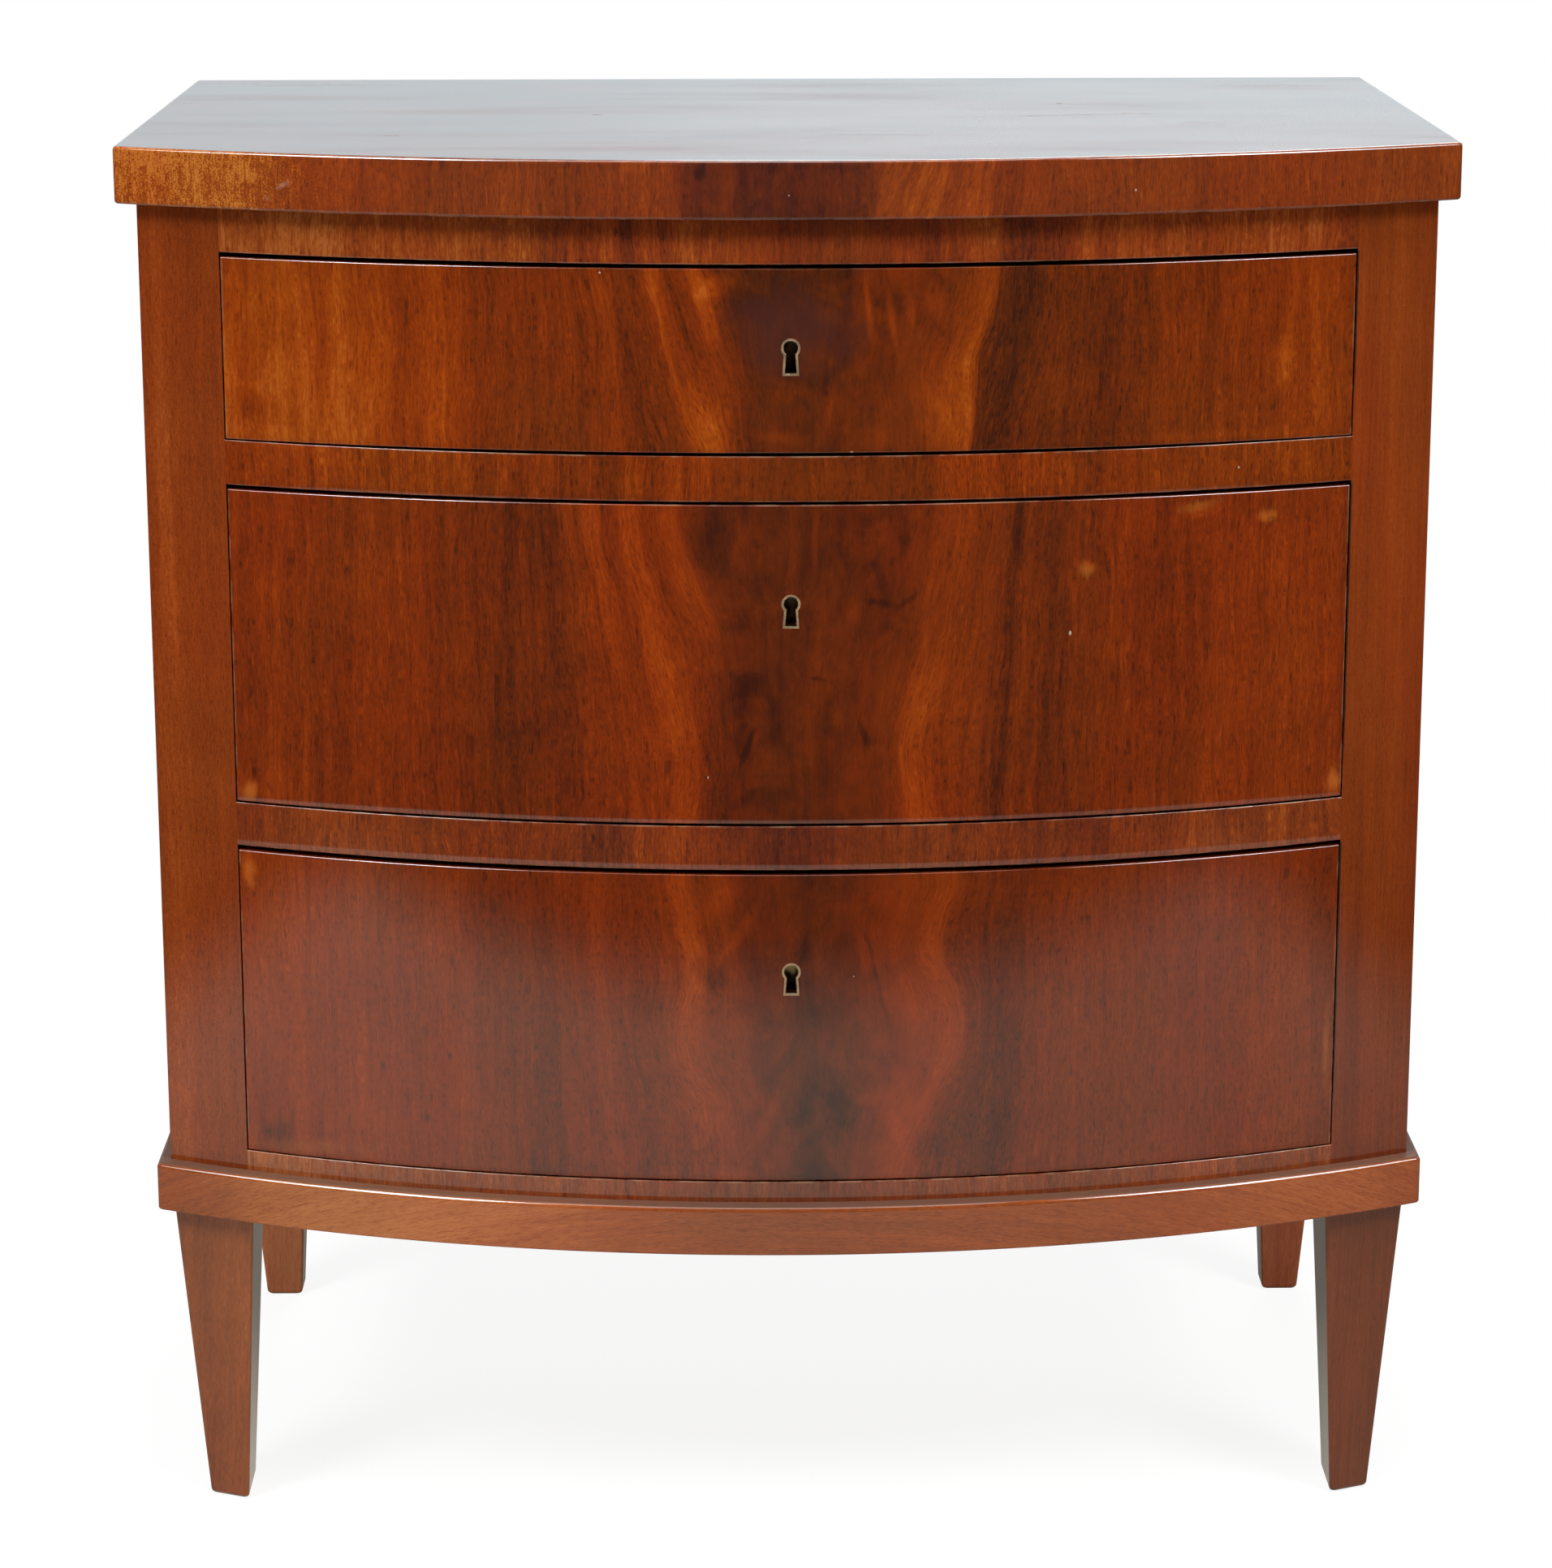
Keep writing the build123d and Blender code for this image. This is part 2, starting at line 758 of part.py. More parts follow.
def chest():
    """Every piece of the chest, by name."""
    pieces = {"top_board": make_top_board(), "bottom_board": make_bottom_board()}
    pieces["back_board_lower"], pieces["back_board_upper"] = back_boards()
    pieces["back_rail"] = make_back_rail()
    pieces["back_screws"] = back_screws()
    pieces["top_screws"] = top_screws()
    pieces["drawer_stops"] = make_stops()
    for name in rail_levels():
        pieces[name] = make_rail(name)
    front_moulding, right_moulding, left_moulding = make_mouldings()
    pieces["base_moulding_front"] = front_moulding
    pieces["base_moulding_right"] = right_moulding
    pieces["base_moulding_left"] = left_moulding

    right_pieces = {
        "stile": make_stile(),
        "side_panel": make_side_panel(),
        "kicker": make_kicker(),
        "leg_front": make_leg("front"),
        "leg_rear": make_leg("rear"),
    }
    for number in opening_floors:
        right_pieces[f"runner_{number}"] = make_runner(number)
        right_pieces[f"drawer_{number}_side"] = drawer_side(number)
    for name, piece in right_pieces.items():
        pieces[f"{name}_right"] = piece
        pieces[f"{name}_left"] = other_side(piece)

    for number in (1, 2):
        pieces[f"dust_board_{number}"] = dust_board(number)
    for number in opening_floors:
        pieces[f"drawer_{number}_front"] = drawer_front(number)
        pieces[f"drawer_{number}_back"] = drawer_back(number)
        pieces[f"drawer_{number}_bottom"] = drawer_bottom(number)
        pieces[f"keyhole_liner_{number}"] = keyhole_liner(number)
        pieces[f"lock_case_{number}"] = lock_case(number)
        pieces[f"lock_bolt_{number}"] = lock_bolt(number)
        pieces[f"lock_screws_{number}"] = lock_screws(number)
    return pieces


os.makedirs("parts", exist_ok=True)
for node, piece in chest().items():
    export_step(piece, f"parts/{node}.step")
    print(node)
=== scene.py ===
import math

import bmesh
import bpy
from mathutils import Matrix, Vector


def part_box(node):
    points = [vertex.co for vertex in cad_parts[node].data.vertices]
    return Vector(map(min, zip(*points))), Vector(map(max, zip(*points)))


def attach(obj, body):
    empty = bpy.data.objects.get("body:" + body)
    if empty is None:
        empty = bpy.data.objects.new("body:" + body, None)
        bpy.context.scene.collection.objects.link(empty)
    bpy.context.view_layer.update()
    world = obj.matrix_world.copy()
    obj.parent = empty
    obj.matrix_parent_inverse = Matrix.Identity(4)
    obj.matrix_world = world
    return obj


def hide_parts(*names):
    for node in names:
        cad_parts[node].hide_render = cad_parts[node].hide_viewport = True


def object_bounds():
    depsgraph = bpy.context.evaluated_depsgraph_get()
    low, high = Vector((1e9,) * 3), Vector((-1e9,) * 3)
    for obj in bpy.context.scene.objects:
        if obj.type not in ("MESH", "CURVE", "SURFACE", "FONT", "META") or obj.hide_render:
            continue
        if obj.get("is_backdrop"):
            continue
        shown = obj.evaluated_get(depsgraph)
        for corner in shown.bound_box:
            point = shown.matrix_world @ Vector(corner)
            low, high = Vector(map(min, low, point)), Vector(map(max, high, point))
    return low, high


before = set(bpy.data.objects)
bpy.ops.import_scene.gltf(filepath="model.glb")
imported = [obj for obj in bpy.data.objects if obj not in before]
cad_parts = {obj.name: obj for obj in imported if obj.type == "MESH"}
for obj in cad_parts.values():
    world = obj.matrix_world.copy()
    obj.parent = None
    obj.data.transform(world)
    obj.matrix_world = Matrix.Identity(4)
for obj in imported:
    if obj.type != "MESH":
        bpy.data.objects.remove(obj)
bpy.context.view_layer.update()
print("frame loaded")

mm = 0.001

# The bow that every front piece follows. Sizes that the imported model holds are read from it.
topLow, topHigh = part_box("top_board")
stileLow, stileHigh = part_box("stile_right")
bow = {"rise": 94 * mm, "overhang": 12.3 * mm}
topRadius = (topHigh.x ** 2 + bow["rise"] ** 2) / (2 * bow["rise"])
bowCentreY = topLow.y + topRadius
bodyRadius = topRadius - bow["overhang"]
openingHalf, bodyHalf = stileLow.x, stileHigh.x


def bowY(radius, x):
    return bowCentreY - math.sqrt(radius ** 2 - x ** 2)


# Node trees

def fillRamp(ramp, stops):
    ramp.elements[0].position, ramp.elements[1].position = stops[0][0], stops[-1][0]
    for place, colour in stops[1:-1]:
        ramp.elements.new(place)
    for element, (place, colour) in zip(ramp.elements, stops):
        element.color = (*colour, 1)


def fillCurve(mapping, points):
    mapping.extend = "HORIZONTAL"
    curve = mapping.curves[0]
    curve.points[0].location, curve.points[1].location = points[0], points[-1]
    for place, value in points[1:-1]:
        curve.points.new(place, value)
    for point in curve.points:
        point.handle_type = "AUTO_CLAMPED"
    mapping.update()


class Wire:  # one output of a node; sums and products of wires add Math nodes
    def __init__(self, sheet, socket):
        self.sheet, self.socket = sheet, socket

    def other(self, name):
        return Wire(self.sheet, self.socket.node.outputs[name])

    def math(self, operation, *others, clamp=False):
        return self.sheet.add("ShaderNodeMath", {"operation": operation, "use_clamp": clamp}, dict(enumerate((self, *others))))

    def __add__(self, other):
        return self.math("ADD", other)

    def __sub__(self, other):
        return self.math("SUBTRACT", other)

    def __mul__(self, other):
        return self.math("MULTIPLY", other)

    def __truediv__(self, other):
        return self.math("DIVIDE", other)

    def __pow__(self, other):
        return self.math("POWER", other)

    def __radd__(self, other):
        return self + other

    def __rmul__(self, other):
        return self * other

    def __rsub__(self, other):
        return self * -1 + other

    def __rtruediv__(self, other):
        return self ** -1 * other

    def clamp(self):
        return self.math("ADD", 0, clamp=True)

    def abs(self):
        return self.math("ABSOLUTE")

    def max(self, other):
        return self.math("MAXIMUM", other)

    def fade(self, low, high, lowValue=0, highValue=1):  # smooth step from one value to another
        sockets = {"Value": self, "From Min": low, "From Max": high, "To Min": lowValue, "To Max": highValue}
        return self.sheet.add("ShaderNodeMapRange", {"interpolation_type": "SMOOTHSTEP"}, sockets)


class Sheet:  # a node tree and the one method that adds to it
    def __init__(self, tree):
        self.tree = tree

    def add(self, kind, settings=None, sockets=None, output=0):
        node = self.tree.nodes.new(kind)
        for name, value in (settings or {}).items():
            if name == "stops":
                fillRamp(node.color_ramp, value)
            elif name == "curve":
                fillCurve(node.mapping, value)
            else:
                setattr(node, name, value)
        for name, value in (sockets or {}).items():
            if isinstance(value, Wire):
                self.tree.links.new(value.socket, node.inputs[name])
            else:
                node.inputs[name].default_value = value
        return Wire(self, node.outputs[output]) if node.outputs else node

    def axes(self, vector):
        x = self.add("ShaderNodeSeparateXYZ", None, {0: vector})
        return x, x.other("Y"), x.other("Z")

    def place(self, x, y, z):
        return self.add("ShaderNodeCombineXYZ", None, {0: x, 1: y, 2: z})

    def noise(self, across, along, seed, detail=2, distortion=0):
        sockets = {"Vector": self.place(across, along, seed), "Scale": 1, "Detail": detail, "Distortion": distortion}
        return self.add("ShaderNodeTexNoise", None, sockets)

    def mix(self, share, first, second, blend="MIX"):
        return self.add("ShaderNodeMix", {"data_type": "RGBA", "blend_type": blend}, {0: share, 6: first, 7: second}, 2)


def newMaterial(name):
    material = bpy.data.materials.new(name)
    material.use_nodes = True
    material.node_tree.nodes.clear()
    return material, Sheet(material.node_tree)


def finishMaterial(sheet, shader):
    sheet.add("ShaderNodeOutputMaterial", None, {"Surface": shader})


# Polished mahogany

polish = {"coatRoughness": 0.06, "coatIor": 1.55, "roughness": 0.4, "specular": 0.02, "bareSpecular": 0.14}
mahogany = [
    (0.0, (0.036, 0.0078, 0.0030)),
    (0.2, (0.078, 0.0134, 0.0028)),
    (0.4, (0.126, 0.0188, 0.0026)),
    (0.6, (0.184, 0.0262, 0.0026)),
    (0.75, (0.234, 0.0360, 0.0028)),
    (0.9, (0.285, 0.0520, 0.0042)),
    (1.0, (0.335, 0.0730, 0.0075)),
]
goldenMahogany = [(place, (red, green * 1.14, blue * 2.3)) for place, (red, green, blue) in mahogany]
redderMahogany = [(place, (red, green * 0.91, blue)) for place, (red, green, blue) in mahogany]
grain = {  # cycles per metre across and along, and share of the tone
    "broad": (24, 1.8, 0.18),
    "band": (70, 3.0, 0.19),
    "stripe": (190, 7, 0.19),
    "fine": (520, 18, 0.22),
    "hair": (1250, 70, 0.26),
    "fibre": (2300, 240, 0.30),
    "mottle": (18, 34, 0.11),
}
pores = {"across": 2500, "along": 250, "depth": 0.20, "bump": 0.6}
# pale edges: real wear along the arrises together with a painted highlight there
wearAndHighlight = {"reach": 1.1 * mm, "share": 0.55, "colour": (0.36, 0.20, 0.11, 1)}


def woodGrain(sheet, across, along, seed, strength=1.0):
    tone = 0
    for index, (acrossScale, alongScale, share) in enumerate(grain.values()):
        field = sheet.noise(across * acrossScale, along * alongScale, seed + index, 2)
        tone = (field - 0.5) * (share * strength * 2) + tone
    return tone


def woodPores(sheet, across, along, seed):
    short = sheet.noise(across * pores["across"], along * pores["along"], seed + 40, 1)
    long = sheet.noise(across * pores["across"] * 0.6, along * pores["along"] * 0.45, seed + 50, 1)
    return (short.fade(0.54, 0.68) * 0.8 + long.fade(0.60, 0.72)).clamp()


# paler colour along a board's edges: partly real wear, partly a painted highlight on the arris
def edgeWearAndHighlight(sheet, x, z, half, low, high, seed):
    reach = wearAndHighlight["reach"]
    side, head, foot = x.abs() - half, z - high, low - z
    rub = sheet.noise(x * 70, z * 70, seed + 90, 3)
    return (side.max(head).max(foot) / reach + 1).clamp() * rub.fade(0.42, 0.62) * wearAndHighlight["share"]


def polishedWood(sheet, tone, pore, along, across, seed, stops=mahogany, overlays=(), coat=1.0, scuff=0):
    colour = sheet.add("ShaderNodeValToRGB", {"stops": stops}, {0: (tone - pore * pores["depth"]).clamp()})
    if coat:  # a polished surface turns a little olive in places
        olive = sheet.mix(1.0, colour, (0.97, 1.10, 1.10, 1), "MULTIPLY")
        colour = sheet.mix(sheet.noise(across * 13, along * 5, seed + 65, 2).fade(0.38, 0.62), colour, olive)
    for share, overlay in overlays:
        colour = sheet.mix(share, colour, overlay)
    smear = sheet.noise(across * 16, along * 4, seed + 60, 3)
    ripple = sheet.noise(across * 60, along * 14, seed + 70, 1)
    height = ripple * 0.5 - pore * pores["bump"]
    normal = sheet.add("ShaderNodeBump", None, {"Strength": 0.3, "Distance": 0.00008, "Height": height})
    shader = sheet.add("ShaderNodeBsdfPrincipled", None, {
        "Base Color": colour,
        "Roughness": smear.fade(0.35, 0.75, polish["roughness"] - 0.05, polish["roughness"] + 0.15) + scuff * 0.2,
        "Specular IOR Level": polish["specular"] if coat else polish["bareSpecular"],
        "Coat Weight": smear.fade(0.55, 0.8, coat, coat * 0.88) * (1 - scuff),
        "Coat Roughness": polish["coatRoughness"],
        "Coat IOR": polish["coatIor"],
        "Normal": normal,
    })
    finishMaterial(sheet, shader)


# Figured veneer for the front, in millimetres. "lines" are the grain lines that bend, each with its home and its path
# (height, x); "head" and "foot" give the tone along the homes at the top and the foot; a mark is x, z, half width,
# half height, lean in degrees and change of tone.

figures = {
    "drawer_1": {
        "lines": [
            (-400, None),
            (-170, None),
            (-108, [(698, -105.7), (769, -108.8), (805, -115)]),
            (-66, [(698, -51), (735, -63.7), (769, -73.9), (805, -80)]),
            (-46, [(698, -28), (743, -35.4), (761, -43), (782, -50.5), (805, -58)]),
            (0, None),
            (106, [(704, 103.7), (743, 101.9), (770, 109.9), (803, 117.7)]),
            (126, [(698, 116.3), (753, 126.9), (803, 131.7)]),
            (200, None),
            (400, None),
        ],
        "head": [
            (-342, 0.78), (-318, 0.80), (-290, 0.76), (-262, 0.80), (-244, 0.80), (-236, 0.64), (-212, 0.68), (-190, 0.52),
            (-160, 0.50), (-132, 0.43), (-116, 0.44), (-110, 0.66), (-106, 0.70), (-101, 0.50), (-93, 0.42), (-80, 0.46),
            (-72, 0.50), (-68, 0.78), (-64, 0.72), (-58, 0.44), (-52, 0.44), (-48, 0.80), (-43, 0.72), (-37, 0.36), (-28, 0.20),
            (0, 0.15), (30, 0.16), (38, 0.36), (56, 0.36), (80, 0.40), (94, 0.48), (104, 0.66), (110, 0.60), (118, 0.34),
            (126, 0.22), (140, 0.30), (170, 0.29), (210, 0.42), (262, 0.49), (300, 0.60), (326, 0.57), (342, 0.50),
        ],
        "foot": [
            (-342, 0.76), (-318, 0.78), (-290, 0.78), (-262, 0.82), (-244, 0.82), (-236, 0.68), (-212, 0.70), (-190, 0.56),
            (-160, 0.51), (-132, 0.46), (-116, 0.42), (-110, 0.58), (-106, 0.62), (-100, 0.46), (-90, 0.38), (-80, 0.44),
            (-74, 0.50), (-70, 0.76), (-60, 0.80), (-54, 0.68), (-47, 0.50), (-40, 0.38), (-28, 0.29), (0, 0.30), (30, 0.31),
            (56, 0.37), (74, 0.46), (88, 0.62), (100, 0.70), (110, 0.74), (114, 0.52), (120, 0.27), (128, 0.27), (140, 0.32),
            (170, 0.31), (210, 0.44), (262, 0.51), (300, 0.58), (326, 0.56), (342, 0.48),
        ],
        "core": (-44, 94, 0.9),
        "grain": 1.05,
        "bruise": (2, 768, 42, 30, 0.6),
        "marks": [
            (-42, 797, 15, 8, -34, 0.34), (46, 782, 2.6, 24, -8, 0.34), (60, 775, 2.4, 28, -12, 0.26), (70, 782, 3, 20, -16, 0.24),
            (84, 790, 7, 14, -24, 0.20), (84, 798, 14, 8, 10, -0.14), (20, 778, 10, 7, 20, 0.20), (60, 792, 16, 14, 0, -0.12),
            (296, 745, 9, 20, 0, 0.22), (250, 700, 60, 4, 0, 0.14), (-322, 716, 16, 10, 10, -0.22), (-335, 770, 4, 30, 0, -0.12),
            (-8, 706, 14, 5, 10, 0.20), (22, 722, 3, 22, 14, 0.16), (52, 706, 14, 10, -10, 0.16), (6, 735, 34, 10, 0, -0.06),
            (-50, 706, 12, 30, 16, 0.10), (90, 720, 26, 6, 60, 0.14),
        ],
        "specks": [(-112, 803, 0.7, 0.7), (36, 697, 0.9, 0.6)],
    },
    "drawer_2": {
        "lines": [
            (-400, None),
            (-175, None),
            (-100, [(468, -88), (515, -91), (561, -96.2), (610, -105.2), (661, -113.9)]),
            (-76, [(468, -69), (476, -68.8), (515, -64.9), (553, -70.2), (582, -79.3), (620, -88.2), (663, -95.2)]),
            (-56, [(468, -40), (560, -42), (592, -47.7), (605, -55), (624, -64.1), (655, -73.4)]),
            (0, None),
            (88, [(468, 78), (476, 77.1), (514, 73.4), (549, 80.6), (581, 89.6), (628, 96.8), (660, 102.1)]),
            (129, [(474, 124.5), (532, 127.8), (589, 130.6), (661, 135.7)]),
            (210, None),
            (400, None),
        ],
        "head": [
            (-342, 0.58), (-318, 0.60), (-290, 0.55), (-262, 0.58), (-236, 0.50), (-206, 0.42), (-186, 0.35), (-160, 0.34),
            (-142, 0.32), (-126, 0.40), (-112, 0.46), (-104, 0.58), (-98, 0.46), (-88, 0.51), (-80, 0.66), (-74, 0.59),
            (-68, 0.42), (-62, 0.56), (-56, 0.64), (-50, 0.50), (-44, 0.33), (-14, 0.26), (0, 0.29), (12, 0.25), (40, 0.28),
            (60, 0.31), (74, 0.44), (84, 0.56), (90, 0.52), (100, 0.46), (114, 0.44), (124, 0.40), (129, 0.14), (134, 0.40),
            (160, 0.40), (190, 0.46), (222, 0.43), (260, 0.52), (292, 0.52), (318, 0.57), (342, 0.49),
        ],
        "foot": [
            (-342, 0.62), (-318, 0.58), (-290, 0.53), (-262, 0.55), (-236, 0.49), (-206, 0.40), (-186, 0.34), (-160, 0.33),
            (-142, 0.32), (-126, 0.38), (-110, 0.43), (-100, 0.52), (-92, 0.52), (-86, 0.58), (-80, 0.68), (-72, 0.71),
            (-68, 0.62), (-64, 0.39), (-56, 0.30), (-30, 0.25), (0, 0.28), (30, 0.30), (56, 0.35), (70, 0.44), (78, 0.64),
            (86, 0.72), (92, 0.60), (100, 0.52), (114, 0.46), (124, 0.42), (129, 0.18), (134, 0.40), (160, 0.38), (190, 0.44),
            (222, 0.44), (260, 0.52), (292, 0.54), (318, 0.56), (342, 0.56),
        ],
        "core": (-62, 82, 1.0),
        "grain": 1.0,
        "marks": [
            (-25, 519, 2.6, 15, 20, -0.34), (-30, 527, 9, 16, 20, -0.10), (44, 527, 2.4, 12, -18, -0.26), (66, 634, 17, 20, 8, 0.10),
            (67, 640, 5, 9, 0, -0.14), (53, 606, 11, 2.6, 14, -0.22), (71, 607, 10, 2.6, -34, -0.22), (52, 622, 2.6, 12, -16, -0.14),
            (19, 559, 8, 1.6, 10, -0.16), (14, 560, 2, 1.6, 0, -0.14), (-30, 640, 4, 26, 20, 0.12), (0, 620, 3, 44, 3, 0.10),
            (13, 645, 2.4, 22, -4, 0.16), (38, 600, 6, 10, 10, 0.16), (-38, 560, 16, 30, -20, -0.08), (40, 490, 30, 14, 0, 0.06),
            (-331, 478, 8, 7, 0, 0.34), (178, 625, 5, 4, 20, 0.36), (247, 654, 14, 4, -10, 0.22), (336, 478, 6, 8, 0, 0.30),
            (288, 649, 4.5, 3.2, 0, 0.30), (290, 648, 2.2, 1.4, 0, -0.5), (60, 550, 24, 26, 20, 0.10), (24, 585, 22, 22, 0, 0.06),
        ],
        "specks": [(168, 584, 0.9, 1.5), (-50, 499, 0.4, 0.9)],
        "bare": [
            (-333, 476, 5, 6, 0, 0.55), (335, 479, 4.5, 7, 6, 0.5), (178, 623, 5.5, 4, 20, 0.5), (245, 658, 12, 3, -10, 0.35),
            (288, 649, 5, 3.4, 0, 0.45),
        ],
    },
    "drawer_3": {
        "lines": [
            (-400, None),
            (-175, None),
            (-112, [(242, -104), (324, -108), (385, -113.5), (434, -115.4)]),
            (-62, [(242, -42), (293, -47.2), (307, -54.8), (324, -64), (348, -64.5), (378, -60.1), (404, -64.7), (435, -69.1)]),
            (-38, [(242, -20), (300, -28), (370, -34), (400, -38), (435, -44)]),
            (12, None),
            (90, [(242, 64), (284, 78.3), (303, 90), (339, 101), (364, 96), (395, 86), (429, 96.7)]),
            (132, [(242, 124), (330, 130), (434, 134)]),
            (210, None),
            (400, None),
        ],
        "head": [
            (-342, 0.60), (-320, 0.60), (-292, 0.54), (-262, 0.58), (-232, 0.50), (-204, 0.50), (-182, 0.40), (-150, 0.42),
            (-128, 0.40), (-114, 0.54), (-106, 0.42), (-86, 0.40), (-74, 0.46), (-68, 0.54), (-62, 0.72), (-56, 0.62),
            (-48, 0.46), (-40, 0.50), (-32, 0.38), (-16, 0.30), (0, 0.26), (10, 0.20), (16, 0.24), (40, 0.33), (60, 0.46),
            (78, 0.54), (90, 0.66), (96, 0.54), (102, 0.40), (114, 0.38), (126, 0.28), (150, 0.36), (180, 0.44), (214, 0.46),
            (262, 0.50), (300, 0.52), (342, 0.46),
        ],
        "foot": [
            (-342, 0.56), (-320, 0.56), (-292, 0.54), (-262, 0.58), (-232, 0.50), (-204, 0.50), (-182, 0.42), (-150, 0.42),
            (-128, 0.40), (-114, 0.44), (-106, 0.40), (-86, 0.40), (-74, 0.42), (-64, 0.54), (-54, 0.51), (-44, 0.44),
            (-32, 0.36), (-16, 0.28), (0, 0.22), (10, 0.14), (14, 0.11), (20, 0.17), (40, 0.25), (56, 0.41), (70, 0.56),
            (84, 0.62), (92, 0.60), (98, 0.38), (110, 0.34), (126, 0.24), (150, 0.34), (180, 0.42), (214, 0.46), (262, 0.50),
            (300, 0.52), (342, 0.46),
        ],
        "core": (-54, 88, 0.9),
        "grain": 0.8,
        "marks": [
            (-44, 424, 8, 16, 34, 0.20), (-34, 400, 3.4, 26, 34, 0.14), (-46, 372, 18, 8, 40, -0.14), (4, 408, 5, 20, 14, 0.12),
            (44, 388, 4, 16, -10, 0.22), (52, 374, 2, 34, -14, -0.16), (74, 424, 16, 18, 20, 0.10), (30, 290, 12, 20, 4, -0.14),
            (0, 330, 14, 22, 0, 0.06), (-14, 286, 5, 22, 24, 0.14), (62, 282, 5, 24, -20, 0.12), (-48, 258, 22, 14, 0, -0.12),
            (-320, 256, 14, 10, 20, -0.22), (-335, 425, 5, 14, 0, 0.36), (-226, 276, 5, 4, 0, -0.22), (72, 352, 20, 24, -12, 0.12),
            (84, 262, 12, 12, 0, -0.10), (40, 340, 12, 18, 10, 0.08), (-60, 290, 8, 20, -16, 0.10),
        ],
        "specks": [(38, 374, 0.4, 0.4)],
        "bare": [(-298, 250, 34, 5, -4, 0.16), (336, 308, 2.4, 26, 0, 0.28), (-334, 424, 3.4, 9, 0, 0.3)],
    },
}
topEdgeFigure = {
    "lines": [
        (-900, None), (44, None), (59, [(835.5, 51), (870, 65)]), (88, [(835.5, 83), (870, 93)]),
        (121, [(835.5, 119), (870, 123)]), (160, None), (900, None),
    ],
    "head": [
        (-350, 0.97), (-336, 0.94), (-322, 0.86), (-312, 0.78), (-300, 0.72), (-284, 0.66), (-268, 0.67), (-260, 0.72),
        (-252, 0.58), (-230, 0.61), (-200, 0.57), (-176, 0.53), (-164, 0.55), (-156, 0.63), (-146, 0.48), (-134, 0.53),
        (-128, 0.58), (-112, 0.50), (-98, 0.49), (-90, 0.58), (-76, 0.60), (-64, 0.32), (-52, 0.26), (-40, 0.34), (-30, 0.27),
        (-8, 0.18), (10, 0.21), (36, 0.29), (50, 0.38), (57, 0.62), (65, 0.52), (73, 0.70), (80, 0.56), (88, 0.72), (95, 0.54),
        (102, 0.62), (110, 0.74), (119, 0.70), (123, 0.46), (140, 0.50), (160, 0.57), (190, 0.55), (240, 0.60), (300, 0.64),
        (338, 0.58), (345, 0.52), (350, 0.66),
    ],
    "core": (-66, 46, 0.8),
    "grain": 0.9,
    "marks": [
        (-54, 863, 3.4, 6, 30, -0.22), (-37, 853, 4, 13, 12, 0.12), (-90, 866, 10, 5, 0, 0.10), (-318, 857, 12, 6, 20, 0.14),
        (-310, 866, 16, 3, 0, 0.10), (20, 850, 22, 9, 0, 0.06), (30, 866, 20, 4, 0, -0.08),
    ],
    "specks": [(202.3, 850.1, 0.6, 0.8), (-1.2, 850, 0.4, 0.5)],
    "rubs": [(-300, 851, 2.4, 6, 60, 0.34), (-309, 843, 2, 3, 30, 0.2)],
    "wrap": True,
    "pebbly": 0.8,
}
# the rails darken their faces behind the bowed front with painted shade
plainFigure = {"lines": [(-400, None), (400, None)], "core": (-50, 90, 0.5), "grain": 1.35, "marks": [], "recessShade": 0.85}
railFigures = {
    "frieze_rail": {
        **plainFigure,
        "head": [
            (-342, 0.80), (-300, 0.92), (-276, 1.00), (-250, 0.78), (-210, 0.72), (-170, 0.66), (-130, 0.58), (-112, 0.70),
            (-100, 0.50), (-84, 0.72), (-74, 0.54), (-60, 0.74), (-48, 0.50), (-30, 0.60), (0, 0.46), (30, 0.52), (60, 0.50),
            (96, 0.60), (118, 0.78), (128, 0.48), (170, 0.62), (220, 0.70), (290, 0.78), (342, 0.70),
        ],
    },
    "divider_rail_upper": {
        **plainFigure,
        "head": [
            (-342, 0.66), (-300, 0.70), (-260, 0.62), (-220, 0.66), (-180, 0.56), (-140, 0.50), (-116, 0.44), (-104, 0.44),
            (-96, 0.64), (-88, 0.46), (-76, 0.50), (-68, 0.74), (-60, 0.58), (-46, 0.60), (-30, 0.44), (0, 0.42), (40, 0.48),
            (80, 0.46), (96, 0.60), (112, 0.62), (122, 0.44), (130, 0.48), (180, 0.54), (230, 0.56), (290, 0.66), (342, 0.62),
        ],
        "specks": [(270, 680, 0.6, 0.8)],
    },
    "divider_rail_lower": {
        **plainFigure,
        "head": [
            (-342, 0.62), (-300, 0.60), (-250, 0.56), (-200, 0.52), (-150, 0.46), (-112, 0.50), (-84, 0.52), (-70, 0.66),
            (-58, 0.50), (-30, 0.44), (10, 0.30), (24, 0.36), (50, 0.46), (84, 0.52), (100, 0.40), (118, 0.46), (160, 0.46),
            (220, 0.54), (300, 0.60), (342, 0.58),
        ],
    },
    "bottom_rail": {
        **plainFigure,
        "head": [(-342, 0.84), (-260, 0.72), (-180, 0.58), (-80, 0.60), (0, 0.44), (100, 0.54), (200, 0.62), (342, 0.68)],
        "worn": 0.3,
    },
}
veneer = {"midTone": 0.42, "feather": 7 * mm, "fibreAcross": 430, "fibreAlong": 9, "fleck": 0.22}
speckColour = (0.55, 0.45, 0.36, 1)
bruiseColour = (0.062, 0.0170, 0.0115, 1)
rubColour = (0.40, 0.27, 0.19, 1)
# painted shade colour for recesses: rail faces seen in the drawer gaps and the gap line on the stiles
recessShadeColour = (0.022, 0.012, 0.007, 1)
wornColour = (0.30, 0.150, 0.070, 1)
bareColour = (0.38, 0.115, 0.016, 1)
dustColour = (0.085, 0.052, 0.038, 1)
curveWidth = 720  # millimetres that a curve node's 0 to 1 stands for


